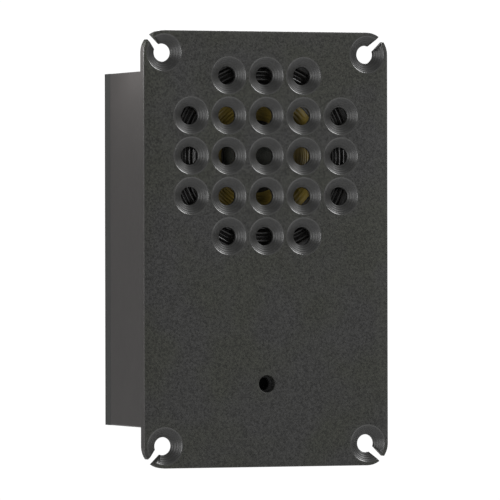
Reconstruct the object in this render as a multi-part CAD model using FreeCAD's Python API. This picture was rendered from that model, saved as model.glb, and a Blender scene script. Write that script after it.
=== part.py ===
"""Window intercom for a shop counter: a flush face with a speaker grille and a microphone hole.

Millimetres. X runs to the right as the unit is seen from the front, Y runs back into the
counter panel and Z runs up. The origin is the middle of the four corner fixings, on the rear
plane of the face, where the unit seats on the panel.
"""
import FreeCAD, Part

import math
import os

from FreeCAD import Vector

# Face, which reaches past the case above and below it
FACE_T = 3.0
FLANGE_REACH = 12.9

# Case behind the face, with room for the clips on each side of the driver
CASE_H = 112.0
CASE_DEPTH = 33.2
SIDE_ROOM = 5.4
WALL = 2.4
COVER_RIM = 5.0
TONGUE_T = 1.1
TONGUE_H = 1.5
TONGUE_CLEAR = 0.1

# Grille and fixing holes, all cut with one countersink
GRILLE_ROWS = (3, 5, 5, 5, 3)
GRILLE_PITCH = 12.7
GRILLE_DROP = 26.5
SINK_R = 5.85
SINK_DEPTH = 2.0
SINK_HOLE_R = 2.85
FIXING_INSET = 7.0
FACE_CORNER_R = FIXING_INSET
SLIT_W = 2.3

# Microphone
MIC_RISE = 13.4
MIC_HOLE_R = 2.7
CAPSULE_R = 4.85
CAPSULE_L = 6.5
BOOT_WALL = 2.0
BOOT_FRONT_T = 1.5
BOOT_PORT_R = 2.0
BOOT_CLEAR = 0.1
SOCKET_WALL = 1.4
SOCKET_H = 7.0

# Loudspeaker, measured back from the seat on the face's rear plane
DRIVER_R = 33.0
DRIVER_CLEAR = 0.6
GASKET_T = 1.0
GASKET_W = 2.4
RING_T = 0.9
RING_W = 2.6
SURROUND_T = 0.3
SURROUND_WAVES = 3
SURROUND_RISE = 0.55
FLANGE_T = 0.8
FLANGE_W = 2.4
CONE_R = 22.4
CONE_LIP_W = 1.8
CONE_T = 0.4
CONE_DEPTH = 8.4
CAP_R = 10.4
CAP_RISE = 3.2
CAP_T = 0.3
COIL_R = 5.5
COIL_FORMER_T = 0.2
COIL_WIRE_T = 0.4
COIL_FORMER_L = 8.0
COIL_WIRE_L = 4.0
POLE_GAP = 0.3
PLATE_GAP = 0.4
SPIDER_EDGE = 1.1
SPIDER_GAP = 1.5
SPIDER_LAND_W = 1.4
SPIDER_T = 0.3
SPIDER_WAVES = 3
SPIDER_RISE = 0.45
SPIDER_GLUE = 0.05
BASKET_BASE_R = 16.5
BASKET_STEP_W = 2.6
BASKET_WINDOWS = 4
BASKET_WINDOW_ANGLE = 58.0
BASKET_WINDOW_MARGIN = 2.2
TOP_PLATE_R = 15.0
TOP_PLATE_T = 3.5
MAGNET_R = 16.0
MAGNET_BORE_R = 9.0
MAGNET_T = 6.0
YOKE_R = 14.5
YOKE_T = 3.0
CLIP_ANGLES = (15.0, 165.0, 215.0, 325.0)
CLIP_OUT = 3.6
CLIP_BOSS_R = 2.4
CLIP_T = 0.8
CLIP_W = 5.0
CLIP_LAP = 1.8
CLIP_TAIL = 2.0
TAG_BOARD_W = 11.0
TAG_BOARD_H = 6.5
TAG_BOARD_T = 1.0
TAG_W = 2.0
TAG_T = 0.4
TAG_L = 6.0
TAG_SPACING = 6.0

# Screws
COVER_SCREW_R = 1.45
COVER_SCREW_L = 10.0
COVER_HEAD_R = 2.7
COVER_HEAD_H = 2.0
CLIP_SCREW_R = 1.1
CLIP_SCREW_L = 4.6
CLIP_HEAD_R = 2.0
CLIP_HEAD_H = 1.4
BOARD_SCREW_R = 1.1
BOARD_SCREW_L = 7.0
BOARD_HEAD_R = 2.1
BOARD_HEAD_H = 1.5
SCREW_CLEAR = 0.25
DRIVE_W = 0.7
DRIVE_DEPTH = 0.9

# Posts
COVER_POST_R = 3.5
COVER_POST_INSET = 4.6
COVER_BOSS_WALL = 1.1
COVER_BOSS_FLOOR = 1.6
COVER_BOSS_DEPTH = 3.4
BOARD_POST_R = 3.0
RIB_T = 1.4

# Circuit board
BOARD_T = 1.6
BOARD_SETBACK = 17.2
BOARD_EDGE_CLEAR = 1.6
BOARD_DRIVER_GAP = 2.9
BOARD_NOTCH = 9.6
BOARD_POST_INSET_LOW = 12.9
BOARD_POST_INSET_HIGH = 4.4
BOARD_POST_RISE_LOW = 3.8
BOARD_POST_DROP_HIGH = 4.6

# Terminal socket and its pull-off plug
WAYS = 6
WAY_PITCH = 3.81
TERMINAL_RISE = 14.0
SOCKET_END = 1.68
SOCKET_WALL_T = 0.8
SOCKET_OPEN_H = 5.8
SOCKET_BASE_T = 1.6
SOCKET_L = 8.8
PIN_W = 0.8
PIN_TAIL = 1.6
PIN_L = 5.2
PLUG_CLEAR = 0.1
PLUG_SHOULDER_GAP = 0.3
PLUG_NOSE_GAP = 0.6
PLUG_SIDE = 0.35
PLUG_BODY_H = 8.4
PLUG_REAR_GAP = 0.2
PLUG_PIN_HOLE_W = 1.1
PLUG_WINDOW_CLEAR = 0.5
CAGE_W = 2.8
CAGE_L = 3.6
CAGE_H = 4.4
CAGE_CLEAR = 0.05
CAGE_RISE = 0.9
WIRE_PORT_R = 1.15
CLAMP_SCREW_R = 1.25
CLAMP_SCREW_CLEAR = 0.1
CLAMP_SCREW_SINK = 0.3

# Controls reached from the rear, all on one row, each at a share of the board's half width
CONTROL_DROP = 8.0
CONTROL_REAR_GAP = 0.7
VOLUME_SHARE = -0.64
MIC_GAIN_SHARE = -0.28
MODE_SHARE = 0.11
BUTTON_SHARE = 0.43
LED_SHARE = 0.7
TRIMMER_W = 8.4
TRIMMER_H = 4.6
TRIMMER_NECK_R = 3.2
TRIMMER_NECK_L = 2.0
TRIMMER_SHAFT_R = 2.0
TRIMMER_DISC_R = 3.2
TRIMMER_DISC_T = 0.8
TRIMMER_FLOOR = 0.9
RUN_CLEAR = 0.05
DISC_CLEAR = 0.2
SHAFT_HOLE_CLEAR = 0.4
MODE_TRAVEL = 2.0
MODE_LEVER_W = 2.0
MODE_BODY_END = 2.2
MODE_BODY_D = 4.4
MODE_BODY_H = 4.6
MODE_FLOOR = 1.2
SLIDE_CLEAR = 0.1
MODE_SLOT_CLEAR = 0.4
BUTTON_TRAVEL = 0.5
BUTTON_BODY_W = 6.0
BUTTON_BODY_H = 3.8
BUTTON_R = 1.75
BUTTON_FOOT_R = 2.3
BUTTON_FOOT_T = 0.8
BUTTON_FLOOR = 1.0
LED_R = 1.5
LED_L = 4.0
LED_FLANGE_R = 1.9
LED_FLANGE_T = 0.8
LED_LEAD_W = 0.5
LED_LEAD_SPACING = 2.54
SPACER_R = 2.4
SPACER_HOLE_R = 0.5

# Parts on the front side of the board. Each is placed by its share of the board's half
# width, from the middle, and by its share of the board's height, from the top.
# Capacitors: share across, share down, radius, length
CAPACITORS = (
    (-0.816, 0.331, 4.0, 11.5),
    (-0.84, 0.544, 3.15, 9.0),
    (-0.628, 0.496, 4.0, 11.5),
    (0.428, 0.671, 3.15, 9.0),
    (0.789, 0.72, 2.5, 7.0),
)
# Chips: share across, share down, width, height, thickness
CHIPS = (
    (-0.374, 0.353, 9.8, 6.4, 3.4),
    (0.053, 0.386, 12.8, 10.4, 2.4),
    (0.481, 0.178, 4.9, 3.9, 1.6),
)
CHIP_STANDOFF = 0.3
CORE_INSET = 10.4
CORE_DROP = 15.0
CORE_W = 15.0
CORE_H = 12.5
CORE_D = 5.0
CORE_LEG = 2.8
CORE_RAISE = 3.0
BOBBIN_CLEAR = 0.15
BOBBIN_D = 11.0
CONNECTOR_W = 7.4
CONNECTOR_H = 5.8
CONNECTOR_D = 6.0
SPEAKER_PLUG_X = 4.5
SPEAKER_PLUG_DROP = 5.1
MIC_PLUG_GAP = 3.55
MIC_PLUG_RISE = 11.0
LEAD_R = 0.65
LEAD_SPACING = 2.5
LEAD_SOLDER = 0.2
LEAD_REACH = 1.8
LEAD_RISE = 3.0
LEAD_LIFT = 2.0

# Label on the rear
LABEL_W = 46.0
LABEL_H = 27.0
LABEL_T = 0.15
LABEL_RECESS = 0.2
LABEL_CLEAR = 0.3

# Places worked out from the sizes above
FACE_W = 2 * (DRIVER_R + DRIVER_CLEAR + SIDE_ROOM + WALL)
FACE_H = CASE_H + 2 * FLANGE_REACH
GRILLE_Z = CASE_H / 2 - GRILLE_DROP
MIC_Z = MIC_RISE - CASE_H / 2
FIXING_X = FACE_W / 2 - FIXING_INSET
FIXING_Z = FACE_H / 2 - FIXING_INSET
INNER_X = FACE_W / 2 - WALL
INNER_Z = CASE_H / 2 - WALL
TURRET_R = DRIVER_R + DRIVER_CLEAR + WALL
SEAM_Y = CASE_DEPTH - COVER_RIM
FLOOR_Y = CASE_DEPTH - WALL
COVER_POST_X = INNER_X - COVER_POST_INSET
COVER_POST_Z = INNER_Z - COVER_POST_INSET
COVER_POST_TOP = FLOOR_Y - COVER_BOSS_DEPTH
COVER_BOSS_R = COVER_HEAD_R + SCREW_CLEAR + COVER_BOSS_WALL
COVER_HEAD_Y = COVER_POST_TOP + COVER_BOSS_FLOOR
RING_Y = GASKET_T
SURROUND_Y = RING_Y + RING_T
FLANGE_Y = SURROUND_Y + SURROUND_T
CLIP_Y = FLANGE_Y + FLANGE_T
CLIP_RADIUS = DRIVER_R + CLIP_OUT
CONE_LIP_Y = SURROUND_Y + SURROUND_T
CONE_THROAT_R = COIL_R + COIL_FORMER_T
CONE_THROAT_Y = CONE_LIP_Y + CONE_DEPTH
SPIDER_R = BASKET_BASE_R - SPIDER_EDGE
SPIDER_Y = CONE_THROAT_Y + SPIDER_GAP
BASKET_BASE_Y = SPIDER_Y + SPIDER_T + FLANGE_T
TOP_PLATE_Y = BASKET_BASE_Y + FLANGE_T
MAGNET_Y = TOP_PLATE_Y + TOP_PLATE_T
YOKE_Y = MAGNET_Y + MAGNET_T
POLE_R = COIL_R - POLE_GAP
PLATE_BORE_R = COIL_R + COIL_FORMER_T + COIL_WIRE_T + PLATE_GAP
COIL_Y = CONE_THROAT_Y - CONE_T
BOARD_Y = CASE_DEPTH - BOARD_SETBACK
BOARD_REAR = BOARD_Y + BOARD_T
BOARD_X = INNER_X - BOARD_EDGE_CLEAR
BOARD_LOW = BOARD_EDGE_CLEAR - INNER_Z
BOARD_TOP = GRILLE_Z - DRIVER_R - BOARD_DRIVER_GAP
CONTROL_Z = BOARD_TOP - CONTROL_DROP
CONTROL_END_Y = CASE_DEPTH - CONTROL_REAR_GAP
VOLUME_X = BOARD_X * VOLUME_SHARE
MIC_GAIN_X = BOARD_X * MIC_GAIN_SHARE
MODE_X = BOARD_X * MODE_SHARE
BUTTON_X = BOARD_X * BUTTON_SHARE
LED_X = BOARD_X * LED_SHARE
CORE_X = BOARD_X - CORE_INSET
CORE_Z = BOARD_TOP - CORE_DROP
SPEAKER_PLUG_Z = BOARD_TOP - SPEAKER_PLUG_DROP
MIC_LEAD_X = -(CAPSULE_R + BOOT_WALL + BOOT_CLEAR + SOCKET_WALL + LEAD_REACH)
MIC_PLUG_X = MIC_LEAD_X - MIC_PLUG_GAP - CONNECTOR_W / 2
MIC_PLUG_Z = BOARD_LOW + MIC_PLUG_RISE
TERMINAL_Z = BOARD_LOW + TERMINAL_RISE
SOCKET_END_Y = BOARD_REAR + SOCKET_L
TERMINAL_HALF = (WAYS - 1) * WAY_PITCH / 2 + SOCKET_END
CAGE_Z = TERMINAL_Z - CAGE_RISE


def rod(x, z, radius, y0, y1):
    """Round bar along Y."""
    return Part.makeCylinder(radius, y1 - y0, Vector(x, y0, z), Vector(0, 1, 0))


def tube(x, z, outer, inner, y0, y1):
    """Round tube along Y."""
    return rod(x, z, outer, y0, y1).cut(rod(x, z, inner, y0, y1))


def block(x0, x1, y0, y1, z0, z1):
    """Box between two corners."""
    return Part.makeBox(x1 - x0, y1 - y0, z1 - z0, Vector(x0, y0, z0))


def slab(x, z, width, height, y0, y1):
    """Box centred on a line along Y."""
    return block(x - width / 2, x + width / 2, y0, y1, z - height / 2, z + height / 2)


def turned(profile, x, z):
    """Solid turned about a line along Y from a closed profile of radius and depth."""
    points = [Vector(radius, depth, 0) for radius, depth in profile]
    face = Part.Face(Part.makePolygon(points + points[:1]))
    solid = face.revolve(Vector(0, 0, 0), Vector(0, 1, 0), 360)
    solid.translate(Vector(x, 0, z))
    return solid


def save(node, solids):
    """Write one node, as one solid or as a group of separate solids."""
    if isinstance(solids, list):
        solids = Part.makeCompound(solids)
    solids.exportStep("parts/" + node + ".step")


def joined(first, *others):
    """One solid from several that meet."""
    return first.fuse(list(others)).removeSplitter()


def mirrored_places(x, z):
    """Four places, one in each quarter about the origin."""
    return [(sx * x, sz * z) for sz in (-1, 1) for sx in (-1, 1)]


def case_prism(inset, y0, y1):
    """The case outline set in by a distance: a rectangle with a round turret over the driver."""
    half_x = FACE_W / 2 - inset
    half_z = CASE_H / 2 - inset
    box = block(-half_x, half_x, y0, y1, -half_z, half_z)
    turret = rod(0, GRILLE_Z, TURRET_R - inset, y0, y1)
    side_cut = block(-half_x, half_x, y0, y1, -FACE_H, FACE_H)
    return joined(box, turret.common(side_cut))


def countersink(x, z):
    """The cutter for one grille or fixing hole: a cone and a short straight land."""
    front = -FACE_T
    cone = Part.makeCone(SINK_R, SINK_HOLE_R, SINK_DEPTH, Vector(x, front, z), Vector(0, 1, 0))
    return cone.fuse(rod(x, z, SINK_HOLE_R, front + SINK_DEPTH, 0))


def grille_places():
    """Centres of the grille holes, row by row from the top."""
    places = []
    for row, count in enumerate(GRILLE_ROWS):
        z = GRILLE_Z + ((len(GRILLE_ROWS) - 1) / 2 - row) * GRILLE_PITCH
        for column in range(count):
            places.append(((column - (count - 1) / 2) * GRILLE_PITCH, z))
    return places


def corner_slit(x, z):
    """The cutter for a slit that runs from a fixing hole out through the corner at 45 degrees."""
    length = 3 * FIXING_INSET
    slit = block(0, length, -FACE_T, 0, -SLIT_W / 2, SLIT_W / 2)
    angle = math.degrees(math.atan2(z, x))
    corner_angle = math.copysign(45, angle) if abs(angle) < 90 else math.copysign(135, angle)
    slit.rotate(Vector(0, 0, 0), Vector(0, 1, 0), -corner_angle)
    slit.translate(Vector(x, 0, z))
    return slit


def face_plate():
    """The face with its rounded corners, before the holes are cut."""
    plate = block(-FACE_W / 2, FACE_W / 2, -FACE_T, 0, -FACE_H / 2, FACE_H / 2)
    upright = [e for e in plate.Edges if abs(e.tangentAt(0).y) > 0.99]
    return plate.makeFillet(FACE_CORNER_R, upright)


def clip_places():
    """Centres of the bosses that carry the driver clips, with each one's angle."""
    places = []
    for angle in CLIP_ANGLES:
        turn = math.radians(angle)
        x = CLIP_RADIUS * math.cos(turn)
        places.append((x, GRILLE_Z + CLIP_RADIUS * math.sin(turn), angle))
    return places


def board_places():
    """Centres of the four board posts."""
    low = BOARD_LOW + BOARD_POST_RISE_LOW
    high = BOARD_TOP - BOARD_POST_DROP_HIGH
    places = [(sx * (BOARD_X - BOARD_POST_INSET_LOW), low) for sx in (-1, 1)]
    return places + [(sx * (BOARD_X - BOARD_POST_INSET_HIGH), high) for sx in (-1, 1)]


def post_rib(x, z):
    """Rib that ties a cover post to the nearest side wall."""
    side = math.copysign(1, x)
    near, far = sorted((x, side * INNER_X))
    return block(near, far, 0, COVER_POST_TOP, z - RIB_T / 2, z + RIB_T / 2)


def front_housing():
    """Moulded face and side walls in one piece, with the posts and seats inside."""
    walls = case_prism(0, 0, SEAM_Y).cut(case_prism(WALL, 0, SEAM_Y))
    tongue_outer = case_prism(WALL - TONGUE_T, SEAM_Y, SEAM_Y + TONGUE_H)
    tongue = tongue_outer.cut(case_prism(WALL, SEAM_Y, SEAM_Y + TONGUE_H))
    locating_r = DRIVER_R + DRIVER_CLEAR / 2
    locating = tube(0, GRILLE_Z, locating_r + WALL / 2, locating_r, 0, FLANGE_Y)
    socket_r = CAPSULE_R + BOOT_WALL + BOOT_CLEAR
    socket = tube(0, MIC_Z, socket_r + SOCKET_WALL, socket_r, 0, SOCKET_H)
    solids = [walls, tongue, locating, socket]
    for x, z in mirrored_places(COVER_POST_X, COVER_POST_Z):
        solids.append(rod(x, z, COVER_POST_R, 0, COVER_POST_TOP))
        solids.append(post_rib(x, z))
    for x, z, angle in clip_places():
        solids.append(rod(x, z, CLIP_BOSS_R, 0, CLIP_Y))
    for x, z in board_places():
        solids.append(rod(x, z, BOARD_POST_R, 0, BOARD_Y))
    housing = joined(face_plate(), *solids)
    cutters = [countersink(x, z) for x, z in grille_places()]
    cutters.append(rod(0, MIC_Z, MIC_HOLE_R, -FACE_T, 0))
    for x, z in mirrored_places(FIXING_X, FIXING_Z):
        cutters.append(countersink(x, z))
        cutters.append(corner_slit(x, z))
    for x, z in mirrored_places(COVER_POST_X, COVER_POST_Z):
        hole_y = COVER_HEAD_Y - COVER_SCREW_L - SCREW_CLEAR
        cutters.append(rod(x, z, COVER_SCREW_R, hole_y, COVER_POST_TOP))
    for x, z, angle in clip_places():
        hole_y = CLIP_Y + CLIP_T - CLIP_SCREW_L - SCREW_CLEAR
        cutters.append(rod(x, z, CLIP_SCREW_R, hole_y, CLIP_Y))
    for x, z in board_places():
        hole_y = BOARD_REAR - BOARD_SCREW_L - SCREW_CLEAR
        cutters.append(rod(x, z, BOARD_SCREW_R, hole_y, BOARD_Y))
    return housing.cut(cutters)


def rear_cover():
    """Moulded rear cover: a shallow tray with screw wells and the windows for wiring and setting."""
    tray = case_prism(0, SEAM_Y, CASE_DEPTH).cut(case_prism(WALL, SEAM_Y, FLOOR_Y))
    rebate_outer = WALL - TONGUE_T - TONGUE_CLEAR
    rebate_end = SEAM_Y + TONGUE_H + TONGUE_CLEAR
    rebate = case_prism(rebate_outer, SEAM_Y, rebate_end)
    tray = tray.cut(rebate.cut(case_prism(WALL, SEAM_Y, rebate_end)))
    wells = []
    cutters = []
    for x, z in mirrored_places(COVER_POST_X, COVER_POST_Z):
        wells.append(rod(x, z, COVER_BOSS_R, COVER_POST_TOP, FLOOR_Y))
        cutters.append(rod(x, z, COVER_HEAD_R + SCREW_CLEAR, COVER_HEAD_Y, CASE_DEPTH))
        cutters.append(rod(x, z, COVER_SCREW_R + SCREW_CLEAR, COVER_POST_TOP, COVER_HEAD_Y))
    window_w = 2 * (TERMINAL_HALF + PLUG_WINDOW_CLEAR)
    window_h = PLUG_BODY_H + 2 * PLUG_WINDOW_CLEAR
    cutters.append(slab(0, TERMINAL_Z, window_w, window_h, FLOOR_Y, CASE_DEPTH))
    for x in (VOLUME_X, MIC_GAIN_X):
        cutters.append(rod(x, CONTROL_Z, TRIMMER_SHAFT_R + SHAFT_HOLE_CLEAR, FLOOR_Y, CASE_DEPTH))
    slot_w = MODE_LEVER_W + MODE_TRAVEL + 2 * MODE_SLOT_CLEAR
    slot_h = MODE_LEVER_W + 2 * MODE_SLOT_CLEAR
    cutters.append(slab(MODE_X, CONTROL_Z, slot_w, slot_h, FLOOR_Y, CASE_DEPTH))
    cutters.append(rod(BUTTON_X, CONTROL_Z, BUTTON_R + SHAFT_HOLE_CLEAR, FLOOR_Y, CASE_DEPTH))
    cutters.append(rod(LED_X, CONTROL_Z, LED_R + SHAFT_HOLE_CLEAR, FLOOR_Y, CASE_DEPTH))
    recess_y = CASE_DEPTH - LABEL_RECESS
    recess_w = LABEL_W + 2 * LABEL_CLEAR
    recess_h = LABEL_H + 2 * LABEL_CLEAR
    cutters.append(slab(0, GRILLE_Z, recess_w, recess_h, recess_y, CASE_DEPTH))
    return joined(tray, *wells).cut(cutters)


def rating_label():
    """Plain label in its recess on the rear cover."""
    y0 = CASE_DEPTH - LABEL_RECESS
    return slab(0, GRILLE_Z, LABEL_W, LABEL_H, y0, y0 + LABEL_T)


def screw(x, z, seat_y, shank_r, length, head_r, head_h):
    """Pan-head screw that points to the front, with a cross recess in its head."""
    head = rod(x, z, head_r, seat_y, seat_y + head_h)
    rim = [e for e in head.Edges if abs(e.BoundBox.YMin - seat_y - head_h) < 1e-6]
    head = head.makeFillet(head_h * 0.45, [e for e in rim if e.Length > head_r])
    shank = rod(x, z, shank_r, seat_y - length, seat_y)
    top = seat_y + head_h
    arm = 2 * head_r * 0.62
    cross = [
        slab(x, z, arm, DRIVE_W, top - DRIVE_DEPTH, top),
        slab(x, z, DRIVE_W, arm, top - DRIVE_DEPTH, top),
    ]
    return joined(head, shank).cut(cross)


def cover_screws():
    """Four self-tapping screws in the wells of the rear cover."""
    return [
        screw(x, z, COVER_HEAD_Y, COVER_SCREW_R, COVER_SCREW_L, COVER_HEAD_R, COVER_HEAD_H)
        for x, z in mirrored_places(COVER_POST_X, COVER_POST_Z)
    ]


def driver_clips():
    """Pressed-steel clips that lap over the driver's flange."""
    clips = []
    for x, z, angle in clip_places():
        inner = CLIP_RADIUS - DRIVER_R + CLIP_LAP
        clip = block(-inner, CLIP_TAIL, CLIP_Y, CLIP_Y + CLIP_T, -CLIP_W / 2, CLIP_W / 2)
        clip = clip.cut(rod(0, 0, CLIP_SCREW_R + SCREW_CLEAR, CLIP_Y, CLIP_Y + CLIP_T))
        clip.rotate(Vector(0, 0, 0), Vector(0, 1, 0), -angle)
        clip.translate(Vector(x, 0, z))
        clips.append(clip)
    return clips


def clip_screws():
    """Screws that hold the driver clips to their bosses."""
    seat = CLIP_Y + CLIP_T
    return [
        screw(x, z, seat, CLIP_SCREW_R, CLIP_SCREW_L, CLIP_HEAD_R, CLIP_HEAD_H)
        for x, z, angle in clip_places()
    ]


def speaker_gasket():
    """Foam ring between the face and the driver."""
    return tube(0, GRILLE_Z, DRIVER_R, DRIVER_R - GASKET_W, 0, GASKET_T)


def speaker_front_ring():
    """Paper-board ring on the rim of the surround."""
    return tube(0, GRILLE_Z, DRIVER_R, DRIVER_R - RING_W, RING_Y, RING_Y + RING_T)


def web_y(radius):
    """Depth of the basket's front surface at a radius on its sloping web."""
    rim = DRIVER_R - FLANGE_W
    share = (rim - radius) / (rim - BASKET_BASE_R)
    return FLANGE_Y + share * (BASKET_BASE_Y - FLANGE_Y)


def speaker_basket():
    """Pressed-steel frame of the driver: flange, sloping web with windows and a stepped base."""
    rim = DRIVER_R - FLANGE_W
    step = BASKET_BASE_R - BASKET_STEP_W
    shell = turned(
        [
            (DRIVER_R, FLANGE_Y),
            (DRIVER_R, FLANGE_Y + FLANGE_T),
            (rim, FLANGE_Y + FLANGE_T),
            (BASKET_BASE_R, BASKET_BASE_Y + FLANGE_T),
            (MAGNET_BORE_R, BASKET_BASE_Y + FLANGE_T),
            (MAGNET_BORE_R, BASKET_BASE_Y),
            (step, BASKET_BASE_Y),
            (step, BASKET_BASE_Y - FLANGE_T),
            (web_radius(BASKET_BASE_Y - FLANGE_T), BASKET_BASE_Y - FLANGE_T),
            (rim, FLANGE_Y),
        ],
        0,
        GRILLE_Z,
    )
    outer = rim - BASKET_WINDOW_MARGIN
    inner = BASKET_BASE_R + BASKET_WINDOW_MARGIN
    windows = []
    for number in range(BASKET_WINDOWS):
        middle = (number + 0.5) * 360 / BASKET_WINDOWS
        windows.append(sector(inner, outer, middle, BASKET_WINDOW_ANGLE, FLANGE_Y, TOP_PLATE_Y))
    pad_in = BASKET_BASE_R + BASKET_WINDOW_MARGIN
    pad_mid = pad_in + TAG_BOARD_H / 2
    pad = block(-TAG_W, TAG_W, web_y(pad_mid + TAG_W) + FLANGE_T / 2, TAG_BOARD_Y,
                GRILLE_Z - pad_mid - TAG_W, GRILLE_Z - pad_mid + TAG_W)
    return joined(shell.cut(windows), pad)


def web_radius(y):
    """Radius of the basket's front surface at a depth on its sloping web."""
    rim = DRIVER_R - FLANGE_W
    share = (y - FLANGE_Y) / (BASKET_BASE_Y - FLANGE_Y)
    return rim - share * (rim - BASKET_BASE_R)


def sector(inner, outer, middle, angle, y0, y1):
    """Part of a tube about the driver's axis, between two radii and over an angle."""
    solid = Part.makeCylinder(outer, y1 - y0, Vector(0, 0, 0), Vector(0, 0, 1), angle)
    solid = solid.cut(Part.makeCylinder(inner, y1 - y0))
    solid.rotate(Vector(0, 0, 0), Vector(0, 0, 1), middle - angle / 2)
    solid.rotate(Vector(0, 0, 0), Vector(1, 0, 0), -90)
    solid.translate(Vector(0, y0, GRILLE_Z))
    return solid


TAG_BOARD_Y = web_y(BASKET_BASE_R + BASKET_WINDOW_MARGIN) + 2 * FLANGE_T


def speaker_tag_board():
    """Insulating strip on the basket that carries the two solder tags."""
    high = GRILLE_Z - BASKET_BASE_R - BASKET_WINDOW_MARGIN
    y1 = TAG_BOARD_Y + TAG_BOARD_T
    return block(-TAG_BOARD_W / 2, TAG_BOARD_W / 2, TAG_BOARD_Y, y1, high - TAG_BOARD_H, high)


def speaker_tags():
    """Two solder tags that stick out below the tag board."""
    y0 = TAG_BOARD_Y + TAG_BOARD_T
    low = GRILLE_Z - BASKET_BASE_R - BASKET_WINDOW_MARGIN - TAG_BOARD_H
    tags = []
    for side in (-1, 1):
        middle = low + TAG_L / 4
        tags.append(slab(side * TAG_SPACING / 2, middle, TAG_W, TAG_L, y0, y0 + TAG_T))
    return tags


def wave(radius_out, radius_in, y, rise, waves, thickness):
    """Closed profile of a corrugated skin between two radii, flat at both ends."""
    steps = waves * 8
    front = []
    for number in range(steps + 1):
        share = number / steps
        radius = radius_out + share * (radius_in - radius_out)
        front.append((radius, y - rise * math.sin(2 * math.pi * waves * share)))
    back = [(radius, depth + thickness) for radius, depth in reversed(front)]
    return front, back


def surround():
    """Corrugated edge of the cone, bonded to the flange outside and to the cone's lip inside."""
    roll_out = DRIVER_R - RING_W - SURROUND_T
    front, back = wave(
        roll_out, CONE_R, SURROUND_Y, SURROUND_RISE, SURROUND_WAVES, SURROUND_T)
    inner = CONE_R - CONE_LIP_W
    rear_y = SURROUND_Y + SURROUND_T
    profile = [(DRIVER_R, SURROUND_Y)] + front
    profile += [(inner, SURROUND_Y), (inner, rear_y)] + back + [(DRIVER_R, rear_y)]
    return turned(profile, 0, GRILLE_Z)


def cone_y(radius):
    """Depth of the cone's front surface, slightly curved from the lip to the throat."""
    lip = CONE_R - CONE_LIP_W
    share = (lip - radius) / (lip - CONE_THROAT_R)
    return CONE_LIP_Y + (CONE_DEPTH - CONE_T) * share ** 0.92


def speaker_cone():
    """Pressed paper cone with a flat lip, from the surround to the voice coil."""
    lip = CONE_R - CONE_LIP_W
    steps = 12
    radii = [lip + (CONE_THROAT_R - lip) * number / steps for number in range(steps + 1)]
    front = [(radius, cone_y(radius)) for radius in radii]
    back = [(radius, depth + CONE_T) for radius, depth in reversed(front)]
    profile = [(CONE_R, CONE_LIP_Y)] + front + back + [(CONE_R, CONE_LIP_Y + CONE_T)]
    return turned(profile, 0, GRILLE_Z)


def dust_cap():
    """Domed cap over the middle of the cone."""
    edge_y = cone_y(CAP_R)
    steps = 10
    outside = []
    for number in range(steps + 1):
        radius = CAP_R * (1 - number / steps)
        outside.append((radius, edge_y - CAP_RISE * (1 - (radius / CAP_R) ** 2) - CAP_T))
    inside = [(radius, depth + CAP_T) for radius, depth in reversed(outside[1:])]
    foot_r = CAP_R - CAP_T
    foot = [(foot_r, edge_y - CAP_RISE * (1 - (foot_r / CAP_R) ** 2))]
    profile = outside + inside + foot
    return turned(profile + [(CAP_R, edge_y)], 0, GRILLE_Z)


def voice_coil():
    """Tube in the magnet's gap, wound with fine wire over part of its length."""
    end = COIL_Y + COIL_FORMER_L
    former = tube(0, GRILLE_Z, COIL_R + COIL_FORMER_T, COIL_R, COIL_Y, end)
    outer = COIL_R + COIL_FORMER_T + COIL_WIRE_T
    winding = tube(0, GRILLE_Z, outer, COIL_R, end - COIL_WIRE_L, end - COIL_FORMER_T)
    return joined(former, winding)


def spider():
    """Corrugated disc that centres the voice coil, bonded to the basket's step."""
    neck = COIL_R + COIL_FORMER_T + SPIDER_GLUE
    front, back = wave(
        SPIDER_R - SPIDER_LAND_W, neck, SPIDER_Y, SPIDER_RISE, SPIDER_WAVES, SPIDER_T)
    profile = [(SPIDER_R, SPIDER_Y)] + front + back + [(SPIDER_R, SPIDER_Y + SPIDER_T)]
    return turned(profile, 0, GRILLE_Z)


def speaker_top_plate():
    """Steel ring in front of the magnet."""
    return tube(0, GRILLE_Z, TOP_PLATE_R, PLATE_BORE_R, TOP_PLATE_Y, MAGNET_Y)


def speaker_magnet():
    """Ferrite ring."""
    return tube(0, GRILLE_Z, MAGNET_R, MAGNET_BORE_R, MAGNET_Y, YOKE_Y)


def speaker_yoke():
    """Back plate and centre pole in one piece."""
    plate = rod(0, GRILLE_Z, YOKE_R, YOKE_Y, YOKE_Y + YOKE_T)
    return joined(plate, rod(0, GRILLE_Z, POLE_R, TOP_PLATE_Y, YOKE_Y))


def mic_boot():
    """Rubber boot that holds the microphone capsule behind its hole."""
    outer = CAPSULE_R + BOOT_WALL
    length = BOOT_FRONT_T + CAPSULE_L
    body = rod(0, MIC_Z, outer, 0, length)
    body = body.cut(rod(0, MIC_Z, CAPSULE_R, BOOT_FRONT_T, length))
    return body.cut(rod(0, MIC_Z, BOOT_PORT_R, 0, BOOT_FRONT_T))


def mic_capsule():
    """Electret capsule."""
    return rod(0, MIC_Z, CAPSULE_R, BOOT_FRONT_T, BOOT_FRONT_T + CAPSULE_L)


def main_board():
    """Circuit board with notched lower corners, drilled for its screws."""
    board = block(-BOARD_X, BOARD_X, BOARD_Y, BOARD_REAR, BOARD_LOW, BOARD_TOP)
    cutters = []
    for side in (-1, 1):
        near, far = sorted((side * (BOARD_X - BOARD_NOTCH), side * INNER_X))
        cutters.append(block(near, far, BOARD_Y, BOARD_REAR, -INNER_Z, BOARD_LOW + BOARD_NOTCH))
    for x, z in board_places():
        cutters.append(rod(x, z, BOARD_SCREW_R + SCREW_CLEAR, BOARD_Y, BOARD_REAR))
    for x in way_places():
        cutters.append(slab(x, TERMINAL_Z, PIN_W, PIN_W, BOARD_Y, BOARD_REAR))
    return board.cut(cutters)


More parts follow.
